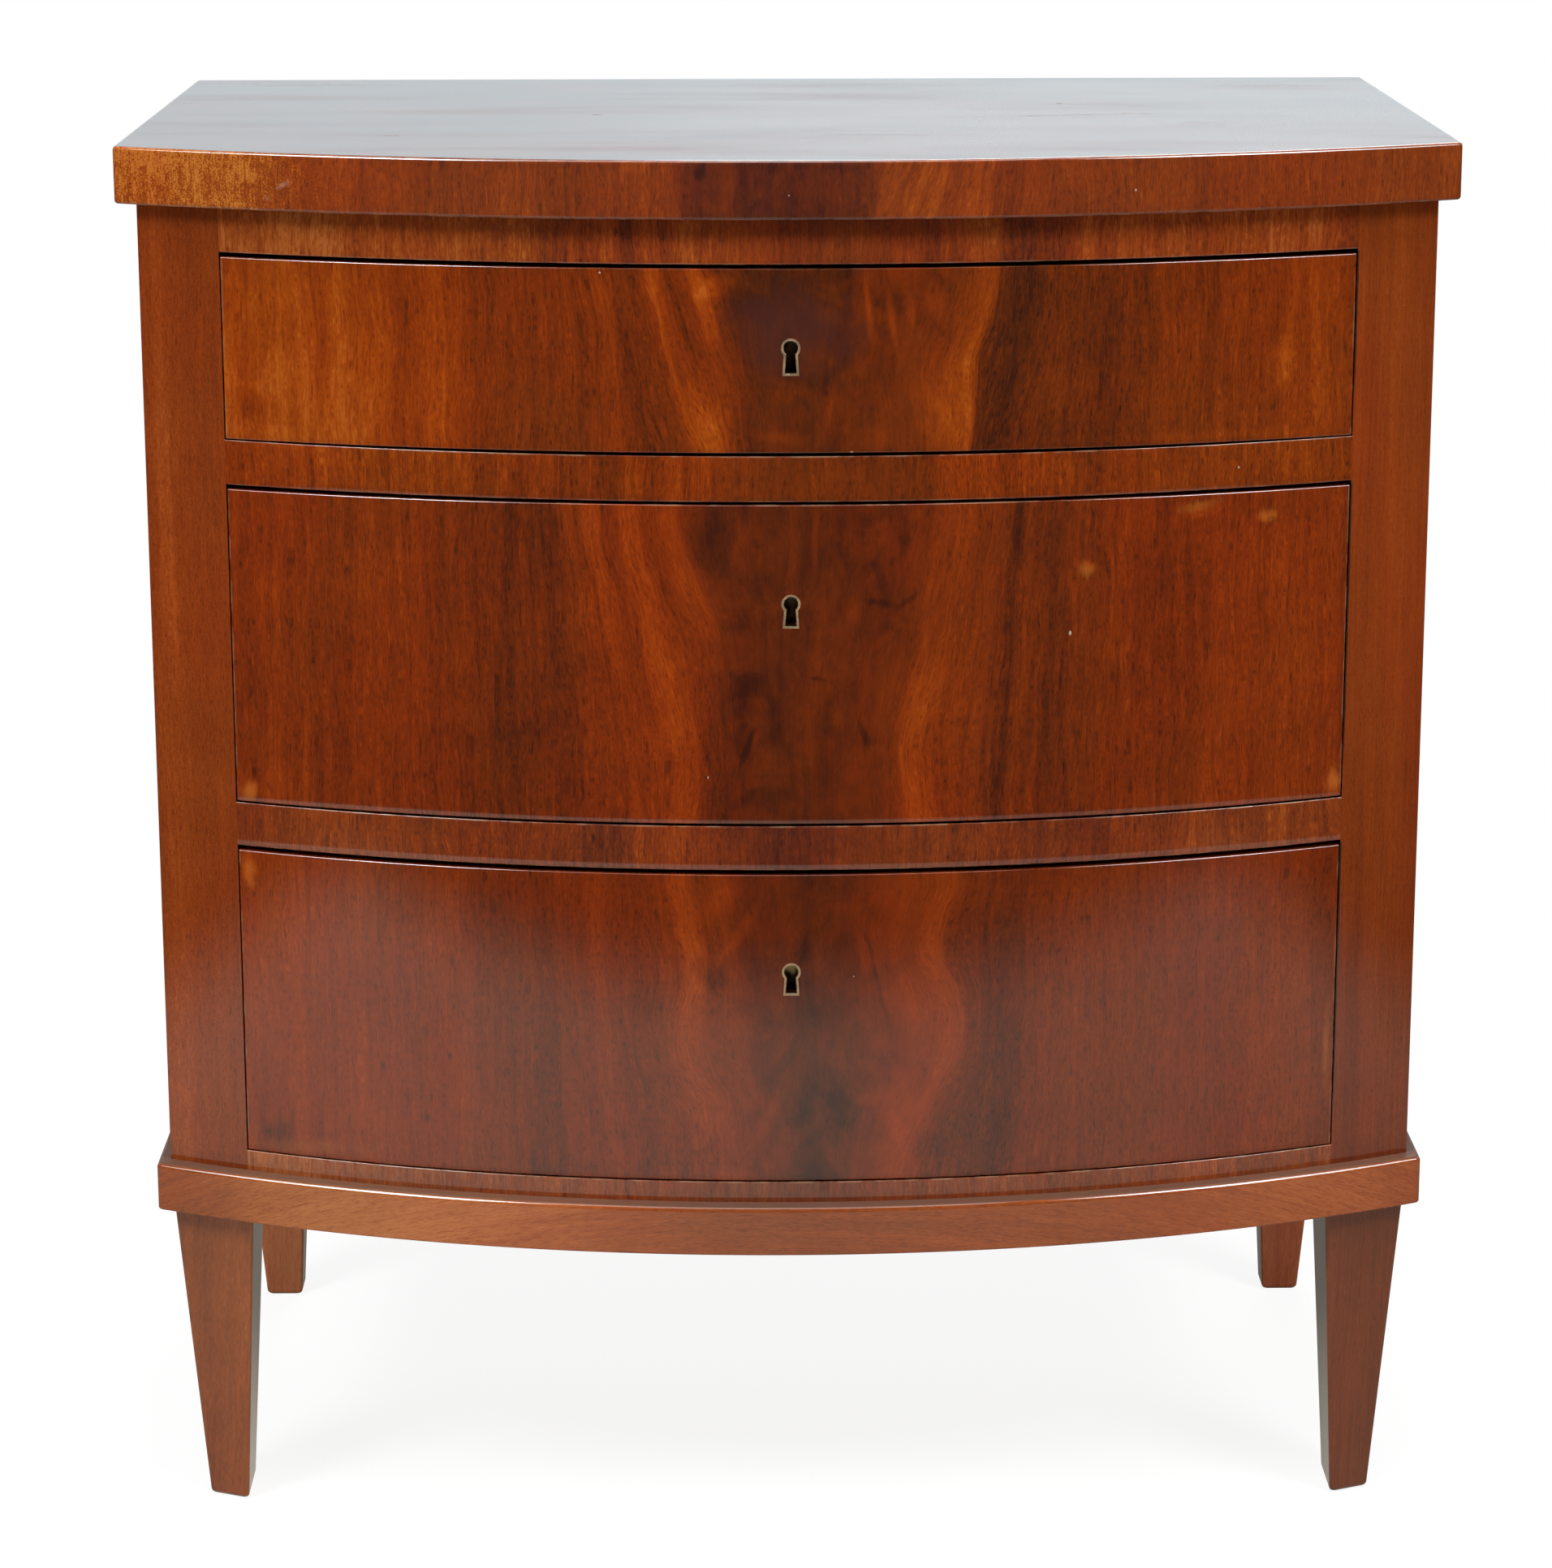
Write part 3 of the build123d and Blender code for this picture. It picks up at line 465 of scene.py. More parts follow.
def lineAt(sheet, height, low, high, home, path):
    if not path:
        return home * mm
    points = [(max(0, min(1, (z - low) / (high - low))), x / curveWidth + 0.5) for z, x in path]
    value = sheet.add("ShaderNodeFloatCurve", {"curve": points}, {"Value": height})
    return (value - 0.5) * (curveWidth * mm)


def toneAlong(sheet, flow, points):
    places = [(home / curveWidth + 0.5, value) for home, value in points]
    return sheet.add("ShaderNodeFloatCurve", {"curve": places}, {"Value": flow / (curveWidth * mm) + 0.5})


def spot(x, z, place):  # distance from a leaning ellipse: 0 in its middle, 1 on its rim
    markX, markZ, halfWidth, halfHeight, lean = place
    turn = math.radians(lean)
    dx, dz = x - markX * mm, z - markZ * mm
    u = (dx * math.cos(turn) + dz * -math.sin(turn)) / (halfWidth * mm)
    v = (dx * math.sin(turn) + dz * math.cos(turn)) / (halfHeight * mm)
    return (u * u + v * v) ** 0.5


def figuredVeneer(name, figure, span, half, radius, seed, stops=mahogany):
    material, sheet = newMaterial(name)
    low, high = span
    x, y, z = sheet.axes(sheet.add("ShaderNodeTexCoord", None, None, "Object"))
    depth = y - bowCentreY + (radius ** 2 - x * x) ** 0.5  # how far behind the bowed face
    if "wrap" in figure:  # the pattern runs on round the ends
        x = x + x.math("SIGN") * depth.max(0)
    sway = sheet.noise(x * 22, z * 16, seed + 80, 2)
    drift = sheet.noise(x * 120, z * 26, seed + 81, 1)
    across = x + (sway - 0.5) * (9 * mm) + (drift - 0.5) * (4 * mm)
    height = ((z - low * mm) / ((high - low) * mm) + (sway - 0.5) * 0.05).clamp()
    lines = [(home * mm, lineAt(sheet, height, low, high, home, path)) for home, path in figure["lines"]]
    flow = lines[0][0]
    for (home, line), (nextHome, nextLine) in zip(lines, lines[1:]):
        flow = ((across - line) / (nextLine - line)).clamp() * (nextHome - home) + flow
    fibre = sheet.noise(flow * veneer["fibreAcross"], z * veneer["fibreAlong"], seed + 84, 2)
    flow = flow + (fibre - 0.5) * veneer["feather"]
    tone = toneAlong(sheet, flow, figure["head"])
    if "foot" in figure:
        foot = toneAlong(sheet, flow, figure["foot"])
        tone = foot + (tone - foot) * height.fade(0.15, 0.8)
    pulse = sheet.noise(x * 9, z * 17, seed + 85, 2)
    tone = (tone - veneer["midTone"]) * pulse.fade(0.3, 0.7, 0.78, 1.12) + veneer["midTone"]

    coreLow, coreHigh, coreShare = figure["core"]
    middle = (coreLow + coreHigh) / 2 * mm
    reach = (coreHigh - coreLow) / 2 * mm
    core = ((flow - middle).abs() / reach).fade(1.2, 0.6) * coreShare
    swirl = sheet.noise(x * 30, z * 22, seed + 82, 3, 1.6)
    curl = sheet.noise(x * 75, z * 48, seed + 83, 2, 1.0)
    fleck = sheet.noise(flow * 800, z * 95, seed + 86, 1)
    tone = tone + (woodGrain(sheet, flow, z, seed, 0.85 * figure.get("grain", 1)) + (fleck - 0.5) * veneer["fleck"]) * (1 - core * 0.62)
    tone = tone + core * ((swirl - 0.5) * 0.62 + (curl - 0.5) * 0.30 - 0.05)
    if "pebbly" in figure:
        tone = tone + (sheet.noise(x * 950, z * 900, seed + 91, 1) - 0.5) * x.fade(-0.22, -0.32) * figure["pebbly"]
    broken = (curl + swirl - 1) * 1.5
    for *place, change in figure["marks"]:
        tone = tone + (spot(across, z, place) + broken).fade(1.3, 0.1) * change
    pore = woodPores(sheet, flow, z, seed) * (1 - core * 0.6)
    overlays = [(edgeWearAndHighlight(sheet, x, z, half * mm, low * mm, high * mm, seed), wearAndHighlight["colour"])]
    if "bruise" in figure:
        *place, share = figure["bruise"]
        overlays.append(((spot(x, z, (*place, 0)) + broken * 0.6).fade(1.2, 0.3) * share, bruiseColour))
    for place in figure.get("specks", ()):
        overlays.append((spot(x, z, (*place, 0)).fade(1.1, 0.7) * 0.6, speckColour))
    for *place, share in figure.get("rubs", ()):
        overlays.append(((spot(x, z, place) + broken).fade(1.2, 0.2) * share, rubColour))
    for *place, share in figure.get("bare", ()):
        overlays.append(((spot(x, z, place) + broken * 0.8 + (fleck - 0.5) * 1.6).fade(1.5, 0.1) * share, bareColour))
    if "worn" in figure:
        streak = sheet.noise(flow * 620, z * 60, seed + 87, 3)
        overlays.append((x.fade(-0.10, -0.34, 0.35, 1) * streak.fade(0.34, 0.66) * figure["worn"], wornColour))
    # painted shade on the faces behind the bowed front, which show dark in the gaps between rails and drawers
    if "recessShade" in figure:
        overlays.append((depth.fade(0.5 * mm, 1.8 * mm) * figure["recessShade"], recessShadeColour))
    polishedWood(sheet, tone, pore, z, x, seed, stops, overlays)
    return material


def plainWood(name, grainAxis, seed, base, strength=1.0, stops=mahogany, coat=1.0, poreShare=1.0, toneCurve=None, more=None):
    material, sheet = newMaterial(name)
    x, y, z = sheet.axes(sheet.add("ShaderNodeTexCoord", None, None, "Object"))
    along, across = {"x": (x, z + y), "y": (y, x + z), "z": (z, x + y)}[grainAxis]
    sway = sheet.noise(across * 8, along * 3, seed + 80, 2)
    across = across + (sway - 0.5) * (8 * mm)
    tone = woodGrain(sheet, across, along, seed, strength * 0.8) + base
    more = more or {}
    if "speckle" in more:
        tone = tone + (sheet.noise(across * 1500, along * 800, seed + 88, 1) - 0.5) * more["speckle"]
    # painted shade: the right stile darker towards its foot
    if "lowRightShade" in more:
        tone = tone - x.fade(0.30, 0.36) * z.fade(0.60, 0.25) * more["lowRightShade"]
    scuff = 0
    for *place, share in more.get("scuffs", ()):
        ragged = (sheet.noise(x * 160, y * 160, seed + 89, 2) - 0.5) * 2.4
        scuff = (spot(x, y, place) + ragged).fade(1.2, 0.2) * share + scuff
    overlays = []
    for spanLow, spanHigh in more.get("gaps", ()):  # painted shade: a dark line along the gap at a drawer's right end
        inside = z.fade(spanLow * mm, (spanLow + 60) * mm) * z.fade((spanHigh + 0.4) * mm, spanHigh * mm)
        band = (x - openingHalf - 0.2 * mm).abs().fade(0.9 * mm, 0.5 * mm)
        overlays.append((band * inside * 0.9, recessShadeColour))
    # dust on the top of the moulding together with painted shade there: its top millimetre darker and duller
    if "dust" in more:
        dust = z.fade(more["dust"] - 1.0 * mm, more["dust"] - 0.2 * mm) * 0.8
        overlays.append((dust, dustColour))
        scuff = dust + scuff
    if toneCurve:
        points = [(home / curveWidth / 1.2 + 0.5, value) for home, value in toneCurve]
        fibre = (sheet.noise(across * 430, along * 9, seed + 84, 2) - 0.5) * (9 * mm)
        place = (x + fibre) / (curveWidth * 1.2 * mm) + 0.5
        tone = tone + sheet.add("ShaderNodeFloatCurve", {"curve": points}, {"Value": place}) - 0.5
    pore = woodPores(sheet, across, along, seed) * poreShare
    polishedWood(sheet, tone, pore, along, across, seed, stops, overlays, coat, scuff)
    return material


stileStops = [
    (0.0, (0.048, 0.0100, 0.0036)),
    (0.4, (0.142, 0.0218, 0.0040)),
    (0.7, (0.214, 0.0350, 0.0052)),
    (1.0, (0.320, 0.0660, 0.0110)),
]
solidStops = [
    (0.0, (0.060, 0.0160, 0.0066)),
    (0.4, (0.156, 0.0330, 0.0092)),
    (0.7, (0.260, 0.0570, 0.0130)),
    (1.0, (0.400, 0.1200, 0.0320)),
]
edgeStops = goldenMahogany[:-2] + [(0.88, (0.300, 0.0640, 0.0075)), (1.0, (0.430, 0.1280, 0.0200))]
legRearLitStops = [(place, (red, green * 1.0, blue * 1.35)) for place, (red, green, blue) in solidStops]
oakStops = [
    (0.0, (0.190, 0.102, 0.048)),
    (0.4, (0.350, 0.205, 0.098)),
    (0.7, (0.470, 0.295, 0.150)),
    (1.0, (0.600, 0.410, 0.235)),
]
pineStops = [
    (0.0, (0.150, 0.074, 0.032)),
    (0.4, (0.285, 0.152, 0.068)),
    (0.7, (0.395, 0.228, 0.108)),
    (1.0, (0.520, 0.325, 0.170)),
]
drawerSpans = {number: (boxLow.z / mm, boxHigh.z / mm) for number in (1, 2, 3) for boxLow, boxHigh in [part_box(f"drawer_{number}_front")]}
materials = {}
for number in (1, 2, 3):
    figure = figures[f"drawer_{number}"]
    materials[f"drawer_{number}"] = figuredVeneer(
        f"veneerDrawer{number}", figure, drawerSpans[number], 340.7, bodyRadius, 7.3 * number,
        mahogany if number == 1 else redderMahogany)
for index, (node, figure) in enumerate(railFigures.items()):
    railLow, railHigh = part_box(node)
    span = (railLow.z / mm, railHigh.z / mm)
    stops = mahogany if node == "divider_rail_upper" else goldenMahogany
    materials[node] = figuredVeneer(f"veneer_{node}", figure, span, 345, bodyRadius, 31.7 + 5.1 * index, stops)
span = (topLow.z / mm, topHigh.z / mm)
materials["topEdge"] = figuredVeneer("veneerTopEdge", topEdgeFigure, span, 900, topRadius, 61.2, edgeStops)
topScuffs = [  # x, y, half width, half depth, lean in degrees and share
    (192, 2, 38, 2.2, -8, 0.40), (160, -5, 12, 2.0, -4, 0.30), (226, 10, 14, 2.4, 0, 0.30), (181, 79, 2.4, 5, 0, 0.45),
    (-120, 10, 4, 4, 0, 0.40), (-244, -118, 8, 2.0, -10, 0.40), (259, -56, 26, 14, -20, 0.14), (-310, 225, 60, 12, 4, 0.12),
    (335, 205, 40, 10, 0, 0.12), (60, -120, 46, 3, 2, 0.10),
]
materials["topFace"] = plainWood("veneerTopFace", "x", 66.4, 0.46, 0.9, more={"scuffs": topScuffs})
materials["topBack"] = plainWood("mahoganyTopBack", "x", 69.3, 0.40, 0.9)
# Tone across the stiles: a painted sheen band a little inside each outer edge and painted shade at the edge itself, as
# a rounded corner would show; a darker strip near the right stile's inner edge.
stileTone = [
    (-394, 0.50), (-386, 0.56), (-381, 0.62), (-375, 0.50), (-362, 0.45), (-346, 0.49), (-340, 0.48), (0, 0.5), (342, 0.52),
    (349, 0.46), (353, 0.42), (359, 0.50), (368, 0.55), (380, 0.50), (394, 0.46),
]
materials["stile"] = plainWood(
    "veneerStile", "z", 71.9, 0.62, 0.8, stileStops, toneCurve=stileTone,
    more={"speckle": 0.30, "lowRightShade": 0.20, "gaps": list(drawerSpans.values())})
materials["side"] = plainWood("veneerSide", "z", 77.1, 0.56, 0.9, stops=stileStops)
mouldingTone = [
    (-410, 0.50), (-360, 0.58), (-330, 0.72), (-240, 0.80), (-160, 0.74), (-80, 0.54), (0, 0.44), (120, 0.46), (240, 0.54),
    (330, 0.66), (380, 0.60), (410, 0.48),
]
legTone = [(-400, 0.56), (-375, 0.52), (-358, 0.63), (-340, 0.66), (0, 0.50), (340, 0.30), (400, 0.22)]
# the moulding's top is darkened with dust and painted shade
dusty = {"dust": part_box("base_moulding_front")[1].z}
materials["moulding"] = plainWood(
    "mahoganyMoulding", "x", 83.5, 0.62, 0.6, solidStops, 0.85, toneCurve=mouldingTone, more=dusty)
materials["mouldingSide"] = plainWood("mahoganyMouldingSide", "y", 85.5, 0.62, 0.6, solidStops, more=dusty)
# The rear legs get a brighter copy of the leg finish: painted light standing in for the light that reaches them under
# the chest.
rearLegLitTone = [(-400, 0.50), (-340, 0.50), (0, 0.44), (340, 0.31), (400, 0.31)]
materials["legFront"] = plainWood("mahoganyLegFront", "z", 88.2, 0.56, 0.75, solidStops, poreShare=0.5, toneCurve=legTone)
materials["legRear"] = plainWood(
    "mahoganyLegRear", "z", 89.6, 0.93, 0.6, legRearLitStops, poreShare=0.5, toneCurve=rearLegLitTone)
materials["oakAlongY"] = plainWood("oakSide", "y", 91.3, 0.5, 0.9, stops=oakStops, coat=0.0)
materials["oakAlongX"] = plainWood("oakBack", "x", 93.7, 0.5, 0.9, stops=oakStops, coat=0.0)
materials["pineAlongX"] = plainWood("pineWide", "x", 96.1, 0.5, 0.9, stops=pineStops, coat=0.0, poreShare=0.3)
materials["pineAlongY"] = plainWood("pineLong", "y", 98.4, 0.5, 0.9, stops=pineStops, coat=0.0, poreShare=0.3)


def metal(name, colour, dull, roughness, seed, dark=None):
    material, sheet = newMaterial(name)
    x, y, z = sheet.axes(sheet.add("ShaderNodeTexCoord", None, None, "Object"))
    tarnish = sheet.noise(x * 180, z * 180 + y * 60, seed, 3)
    scratch = sheet.noise(x * 900, z * 70, seed + 3, 2)
    share = tarnish.fade(0.42, 0.66)
    normal = sheet.add("ShaderNodeBump", None, {"Strength": 0.3, "Distance": 0.00005, "Height": scratch + tarnish})
    tint = sheet.mix(share, (*colour, 1), (*dull, 1))
    metallic = 1.0
    if dark:  # painted shade: black between two depths, inside the drawer front, where the keyhole's hollow is dark
        recessShade = y.fade(dark[0], dark[1])
        tint = sheet.mix(recessShade, tint, (0.004, 0.003, 0.002, 1))
        metallic = 1 - recessShade
    shader = sheet.add("ShaderNodeBsdfPrincipled", None, {
        "Base Color": tint,
        "Metallic": metallic,
        "Specular IOR Level": 0.0,
        "Roughness": share.fade(0, 1, roughness, roughness + 0.18) + (scratch - 0.5) * 0.12,
        "Normal": normal,
    })
    finishMaterial(sheet, shader)
    return material


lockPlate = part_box("lock_case_1")[1].y - 2 * mm
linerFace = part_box("keyhole_liner_1")[0].y
# the liner and the lock case are painted black behind the keyhole, as painted shade in its hollow
linerHollowShade = (linerFace + 0.3 * mm, linerFace + 0.9 * mm)
materials["liner"] = metal("brassLiner", (0.56, 0.37, 0.22), (0.34, 0.21, 0.12), 0.46, 3.1, linerHollowShade)
materials["lock"] = metal("brassLock", (0.58, 0.42, 0.20), (0.30, 0.20, 0.09), 0.34, 5.7, (lockPlate - 1 * mm, lockPlate - 3 * mm))
materials["bolt"] = metal("steelBolt", (0.42, 0.41, 0.39), (0.20, 0.18, 0.16), 0.30, 8.3)
materials["screw"] = metal("steelScrew", (0.34, 0.33, 0.31), (0.13, 0.10, 0.08), 0.38, 9.9)
print("materials made:", len(materials))


# Mesh helpers

def addObject(name, mesh, *used):
    piece = bpy.data.objects.new(name, mesh)
    bpy.context.scene.collection.objects.link(piece)
    for material in used:
        mesh.materials.append(material)
    return piece


def settle(piece):  # every modifier goes into the mesh
    bpy.context.view_layer.update()
    mesh = bpy.data.meshes.new_from_object(piece.evaluated_get(bpy.context.evaluated_depsgraph_get()))
    piece.modifiers.clear()
    old, piece.data = piece.data, mesh
    bpy.data.meshes.remove(old)
    mesh.name = piece.name


def smooth(piece, angle=35):
    work = bmesh.new()
    work.from_mesh(piece.data)
    bmesh.ops.remove_doubles(work, verts=work.verts, dist=1e-6)
    bmesh.ops.recalc_face_normals(work, faces=work.faces)
    for face in work.faces:
        face.smooth = True
    for edge in work.edges:
        edge.smooth = len(edge.link_faces) == 2 and edge.calc_face_angle(0) < math.radians(angle)
    work.to_mesh(piece.data)
    work.free()
    weighted = piece.modifiers.new("weighted", "WEIGHTED_NORMAL")
    weighted.keep_sharp = True
    settle(piece)


def deliver(piece, body, slotName, *nodes):
    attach(piece, body)
    if nodes:
        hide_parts(*nodes)
    return piece


def boxMesh(name, low, high):
    work = bmesh.new()
    bmesh.ops.create_cube(work, size=1)
    for vert in work.verts:
        vert.co = [low[axis] if vert.co[axis] < 0 else high[axis] for axis in range(3)]
    mesh = bpy.data.meshes.new(name)
    work.to_mesh(mesh)
    work.free()
    return mesh


def loftMesh(name, loops, capped=True):  # closed loops of equal count, joined in order
    work = bmesh.new()
    rings = [[work.verts.new(point) for point in loop] for loop in loops]
    count = len(rings[0])
    for ring, following in zip(rings, rings[1:]):
        for index in range(count):
            after = (index + 1) % count
            work.faces.new((ring[index], ring[after], following[after], following[index]))
    if capped:
        work.faces.new(rings[0])
        work.faces.new(list(reversed(rings[-1])))
    bmesh.ops.remove_doubles(work, verts=work.verts, dist=1e-7)
    bmesh.ops.recalc_face_normals(work, faces=work.faces)
    mesh = bpy.data.meshes.new(name)
    work.to_mesh(mesh)
    work.free()
    return mesh


def carve(piece, cutters):
    tools = []
    for index, mesh in enumerate(cutters):
        tool = bpy.data.objects.new(f"cutter{index}", mesh)
        bpy.context.scene.collection.objects.link(tool)
        modifier = piece.modifiers.new(f"cut{index}", "BOOLEAN")
        modifier.operation, modifier.object, modifier.solver = "DIFFERENCE", tool, "EXACT"
        tools.append(tool)
    settle(piece)
    for tool in tools:
        mesh = tool.data
        bpy.data.objects.remove(tool)
        bpy.data.meshes.remove(mesh)


# Geometry nodes

def newTree(name, inputs):
    tree = bpy.data.node_groups.new(name, "GeometryNodeTree")
    for label, kind, value in inputs:
        socket = tree.interface.new_socket(label, in_out="INPUT", socket_type=kind)
        if value is not None:
            socket.default_value = value
    tree.interface.new_socket("Geometry", in_out="OUTPUT", socket_type="NodeSocketGeometry")
    return tree, Sheet(tree)


def useTree(piece, tree, values):
    modifier = piece.modifiers.new(tree.name, "NODES")
    modifier.node_group = tree
    for item in tree.interface.items_tree:
        if item.in_out == "INPUT" and item.name in values:
            modifier[item.identifier] = values[item.name]


bowTree, sheet = newTree("bowFront", [
    ("Board", "NodeSocketGeometry", None),
    ("Radius", "NodeSocketFloat", bodyRadius),
    ("Centre", "NodeSocketFloat", bowCentreY),
    ("Thickness", "NodeSocketFloat", 0.02),
    ("Back", "NodeSocketFloat", 0.0),
    ("Flat back", "NodeSocketFloat", 0.0),
    ("Material", "NodeSocketMaterial", None),
])
given = sheet.add("NodeGroupInput", None, None, "Board")
x, depth, z = sheet.axes(sheet.add("GeometryNodeInputPosition"))
bent = given.other("Centre") - ((given.other("Radius") - depth) ** 2 - x * x) ** 0.5
atBack = depth.math("GREATER_THAN", given.other("Thickness") * 0.5) * given.other("Flat back")
newY = bent * (1 - atBack) + given.other("Back") * atBack
moved = sheet.add("GeometryNodeSetPosition", None, {"Geometry": given, "Position": sheet.place(x, newY, z)})
moved = sheet.add("GeometryNodeRealizeInstances", None, {0: moved})
moved = sheet.add("GeometryNodeSetMaterial", None, {"Geometry": moved, "Material": given.other("Material")})
sheet.add("NodeGroupOutput", None, {"Geometry": moved})


def flatBoard(name, values):  # lies flat, its depth still to be bent; a sag narrows it at the head and foot
    (left, right), (low, high), thickness, columns = values["x"], values["z"], values["thickness"], values["columns"]
    reach = max(abs(left), abs(right))
    headMiddle, headEnd, footMiddle, footEnd = values.get("sag", (0, 0, 0, 0))
    rollWidth, rollDepth, rollSteps = values.get("roll", (0, 0, 0))  # how the face rolls back towards its foot
    fullRows = values.get("rows", 1)
    rows = rollSteps + fullRows
    work = bmesh.new()
    sides = []
    for depth, turned in ((0, rollDepth), (thickness, 0)):
        side = []
        for i in range(columns + 1):
            x = left + (right - left) * i / columns
            share = (x / reach) ** 2
            foot = low + footMiddle + (footEnd - footMiddle) * share
            head = high - headMiddle - (headEnd - headMiddle) * share
            heights = [(rollWidth * j / rollSteps, turned * (1 - j / rollSteps) ** 2) for j in range(rollSteps)]
            heights += [(rollWidth + (head - foot - rollWidth) * j / fullRows, 0) for j in range(fullRows + 1)]
            side.append([work.verts.new((x, depth + back, foot + up)) for up, back in heights])
        sides.append(side)
    front, back = sides
    for i in range(columns):
        for j in range(rows):
            work.faces.new((front[i][j], front[i + 1][j], front[i + 1][j + 1], front[i][j + 1]))
            work.faces.new((back[i][j], back[i][j + 1], back[i + 1][j + 1], back[i + 1][j]))
        for j in (0, rows):
            work.faces.new((front[i][j], back[i][j], back[i + 1][j], front[i + 1][j]))
    for i in (0, columns):
        for j in range(rows):
            work.faces.new((front[i][j], front[i][j + 1], back[i][j + 1], back[i][j]))
    bmesh.ops.recalc_face_normals(work, faces=work.faces)
    weights = work.edges.layers.float.new("bevel_weight_edge")
    for edge in work.edges:
        if edge.calc_face_angle(0) > math.radians(40):
            lengthwise = abs(edge.verts[0].co.x - edge.verts[1].co.x) > 1e-6
            atHead = edge.verts[0].co.z > (low + high) / 2
            share = values.get("headArrisShare", 1.0) if atHead else 1.0
            edge[weights] = share if lengthwise else values["endArrisShare"]
    mesh = bpy.data.meshes.new(name)
    work.to_mesh(mesh)
    work.free()
    return mesh


def bowedBoard(name, values, material):
    piece = addObject(name, flatBoard(name, values))
    useTree(piece, bowTree, {
        "Radius": values["radius"],
        "Thickness": values["thickness"],
        "Back": values.get("back", 0.0),
        "Flat back": 1.0 if "back" in values else 0.0,
        "Material": material,
    })
    bevel = piece.modifiers.new("arris", "BEVEL")
    bevel.width, bevel.segments, bevel.limit_method = values["arris"], 4, "WEIGHT"
    settle(piece)
    return piece


# Top board

topBoard = {
    "x": (topLow.x, topHigh.x),
    "z": (topLow.z, topHigh.z),
    "thickness": 60 * mm,
    "radius": topRadius,
    "back": topHigh.y,
    "arris": 2.2 * mm,
    "endArrisShare": 1.0,
    "columns": 120,
}
top = bowedBoard("topBoard", topBoard, materials["topEdge"])
top.data.materials.append(materials["topFace"])
top.data.materials.append(materials["topBack"])
smooth(top)
for face in top.data.polygons:
    face.material_index = 1 if face.normal.z > 0.9 else 2 if face.normal.y > 0.7 else 0
deliver(top, "case", "mahogany_veneer", "top_board")
print("top board made")


# Front rails and stiles

rail = {
    "arris": 1.0 * mm, "headArrisShare": 0.3, "endArrisShare": 0.12, "columns": 100, "thickness": 60 * mm,
    "roll": (4.5 * mm, 0.45 * mm, 5),
}
boltPocket = {"halfWidth": 12.5 * mm, "halfDepth": 4.5 * mm, "height": 11 * mm, "overrun": 3 * mm}
locksBelow = {"frieze_rail": "lock_bolt_1", "divider_rail_upper": "lock_bolt_2", "divider_rail_lower": "lock_bolt_3"}
for node in railFigures:
    low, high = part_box(node)
    values = {**rail, "x": (-openingHalf, openingHalf), "z": (low.z, high.z), "radius": bodyRadius, "back": stileHigh.y}
    if node == "bottom_rail":
        del values["roll"]  # it stands on the moulding
    piece = bowedBoard(f"veneered_{node}", values, materials[node])
    if node in locksBelow:  # the pocket for the bolt of the drawer below
        boltLow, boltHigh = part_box(locksBelow[node])
        middle = (boltLow.y + boltHigh.y) / 2
        carve(piece, [boxMesh(
            "pocket",
            (-boltPocket["halfWidth"], middle - boltPocket["halfDepth"], low.z - boltPocket["overrun"]),
            (boltPocket["halfWidth"], middle + boltPocket["halfDepth"], low.z + boltPocket["height"]))])
    smooth(piece)
    deliver(piece, "case", "mahogany_veneer", node)

stile = {"arris": 0.25 * mm, "endArrisShare": 1.0, "columns": 16, "thickness": 30 * mm}
for side, sign in (("right", 1), ("left", -1)):
    values = {**stile, "x": tuple(sorted((sign * openingHalf, sign * bodyHalf))), "z": (stileLow.z, stileHigh.z)}
    piece = bowedBoard(f"veneered_stile_{side}", {**values, "radius": bodyRadius, "back": stileHigh.y}, materials["stile"])
    smooth(piece)
    deliver(piece, "case", "mahogany_veneer", f"stile_{side}")
print("rails and stiles made")


# Drawer fronts, cut for their keyholes, locks, bottoms and dovetails

drawerFront = {
    "thickness": 22 * mm, "arris": 1.2 * mm, "headArrisShare": 1.0, "endArrisShare": 0.6, "columns": 120, "rows": 10,
    "roll": (4 * mm, 0.32 * mm, 5),
}
drawerSag = {  # how far each front has shrunk at its head and foot, in the middle and at the ends
    1: (0.8 * mm, 1.1 * mm, 1.4 * mm, 0.2 * mm),
    2: (0.2 * mm, 1.0 * mm, 0.9 * mm, 0.5 * mm),
    3: (1.3 * mm, 1.3 * mm, 0.3 * mm, 0.1 * mm),
}
keyhole = {
    "radius": 4.35 * mm, "neck": 2.5 * mm, "foot": 3.5 * mm, "wall": 1.4 * mm, "linerDepth": 4 * mm,
    "drops": {1: 15 * mm, 2: 13.4 * mm, 3: 13.4 * mm}, "segments": 24,
}
lock = {"plate": 2 * mm, "caseWidth": 46 * mm, "caseDepth": 10 * mm, "caseMargin": 8 * mm, "play": 0.15 * mm, "overrun": 3 * mm}
joint = {"ease": 0.1 * mm, "endPlay": 0.17 * mm}


def keyholeOutline(centre, drop, grow):
    radius, neck, foot = keyhole["radius"] + grow, keyhole["neck"] + grow, keyhole["foot"] + grow
    low = drop + grow
    slope = (foot - neck) / low
    # where the foot's side leaves the round head
    a, b, c = 1 + slope ** 2, 2 * neck * slope, neck ** 2 - radius ** 2
    down = (-b + math.sqrt(b * b - 4 * a * c)) / (2 * a)
    start = math.atan2(-down, neck + slope * down)
    points = []
    for index in range(keyhole["segments"] + 1):
        angle = start + (math.pi - 2 * start) * index / keyhole["segments"]
        points.append((centre[0] + radius * math.cos(angle), centre[1] + radius * math.sin(angle)))
    points += [(centre[0] - foot, centre[1] - low), (centre[0] + foot, centre[1] - low)]
    return points


def prism(name, outline, nearY, farY):
    return loftMesh(name, [[(x, nearY, z) for x, z in outline], [(x, farY, z) for x, z in outline]])


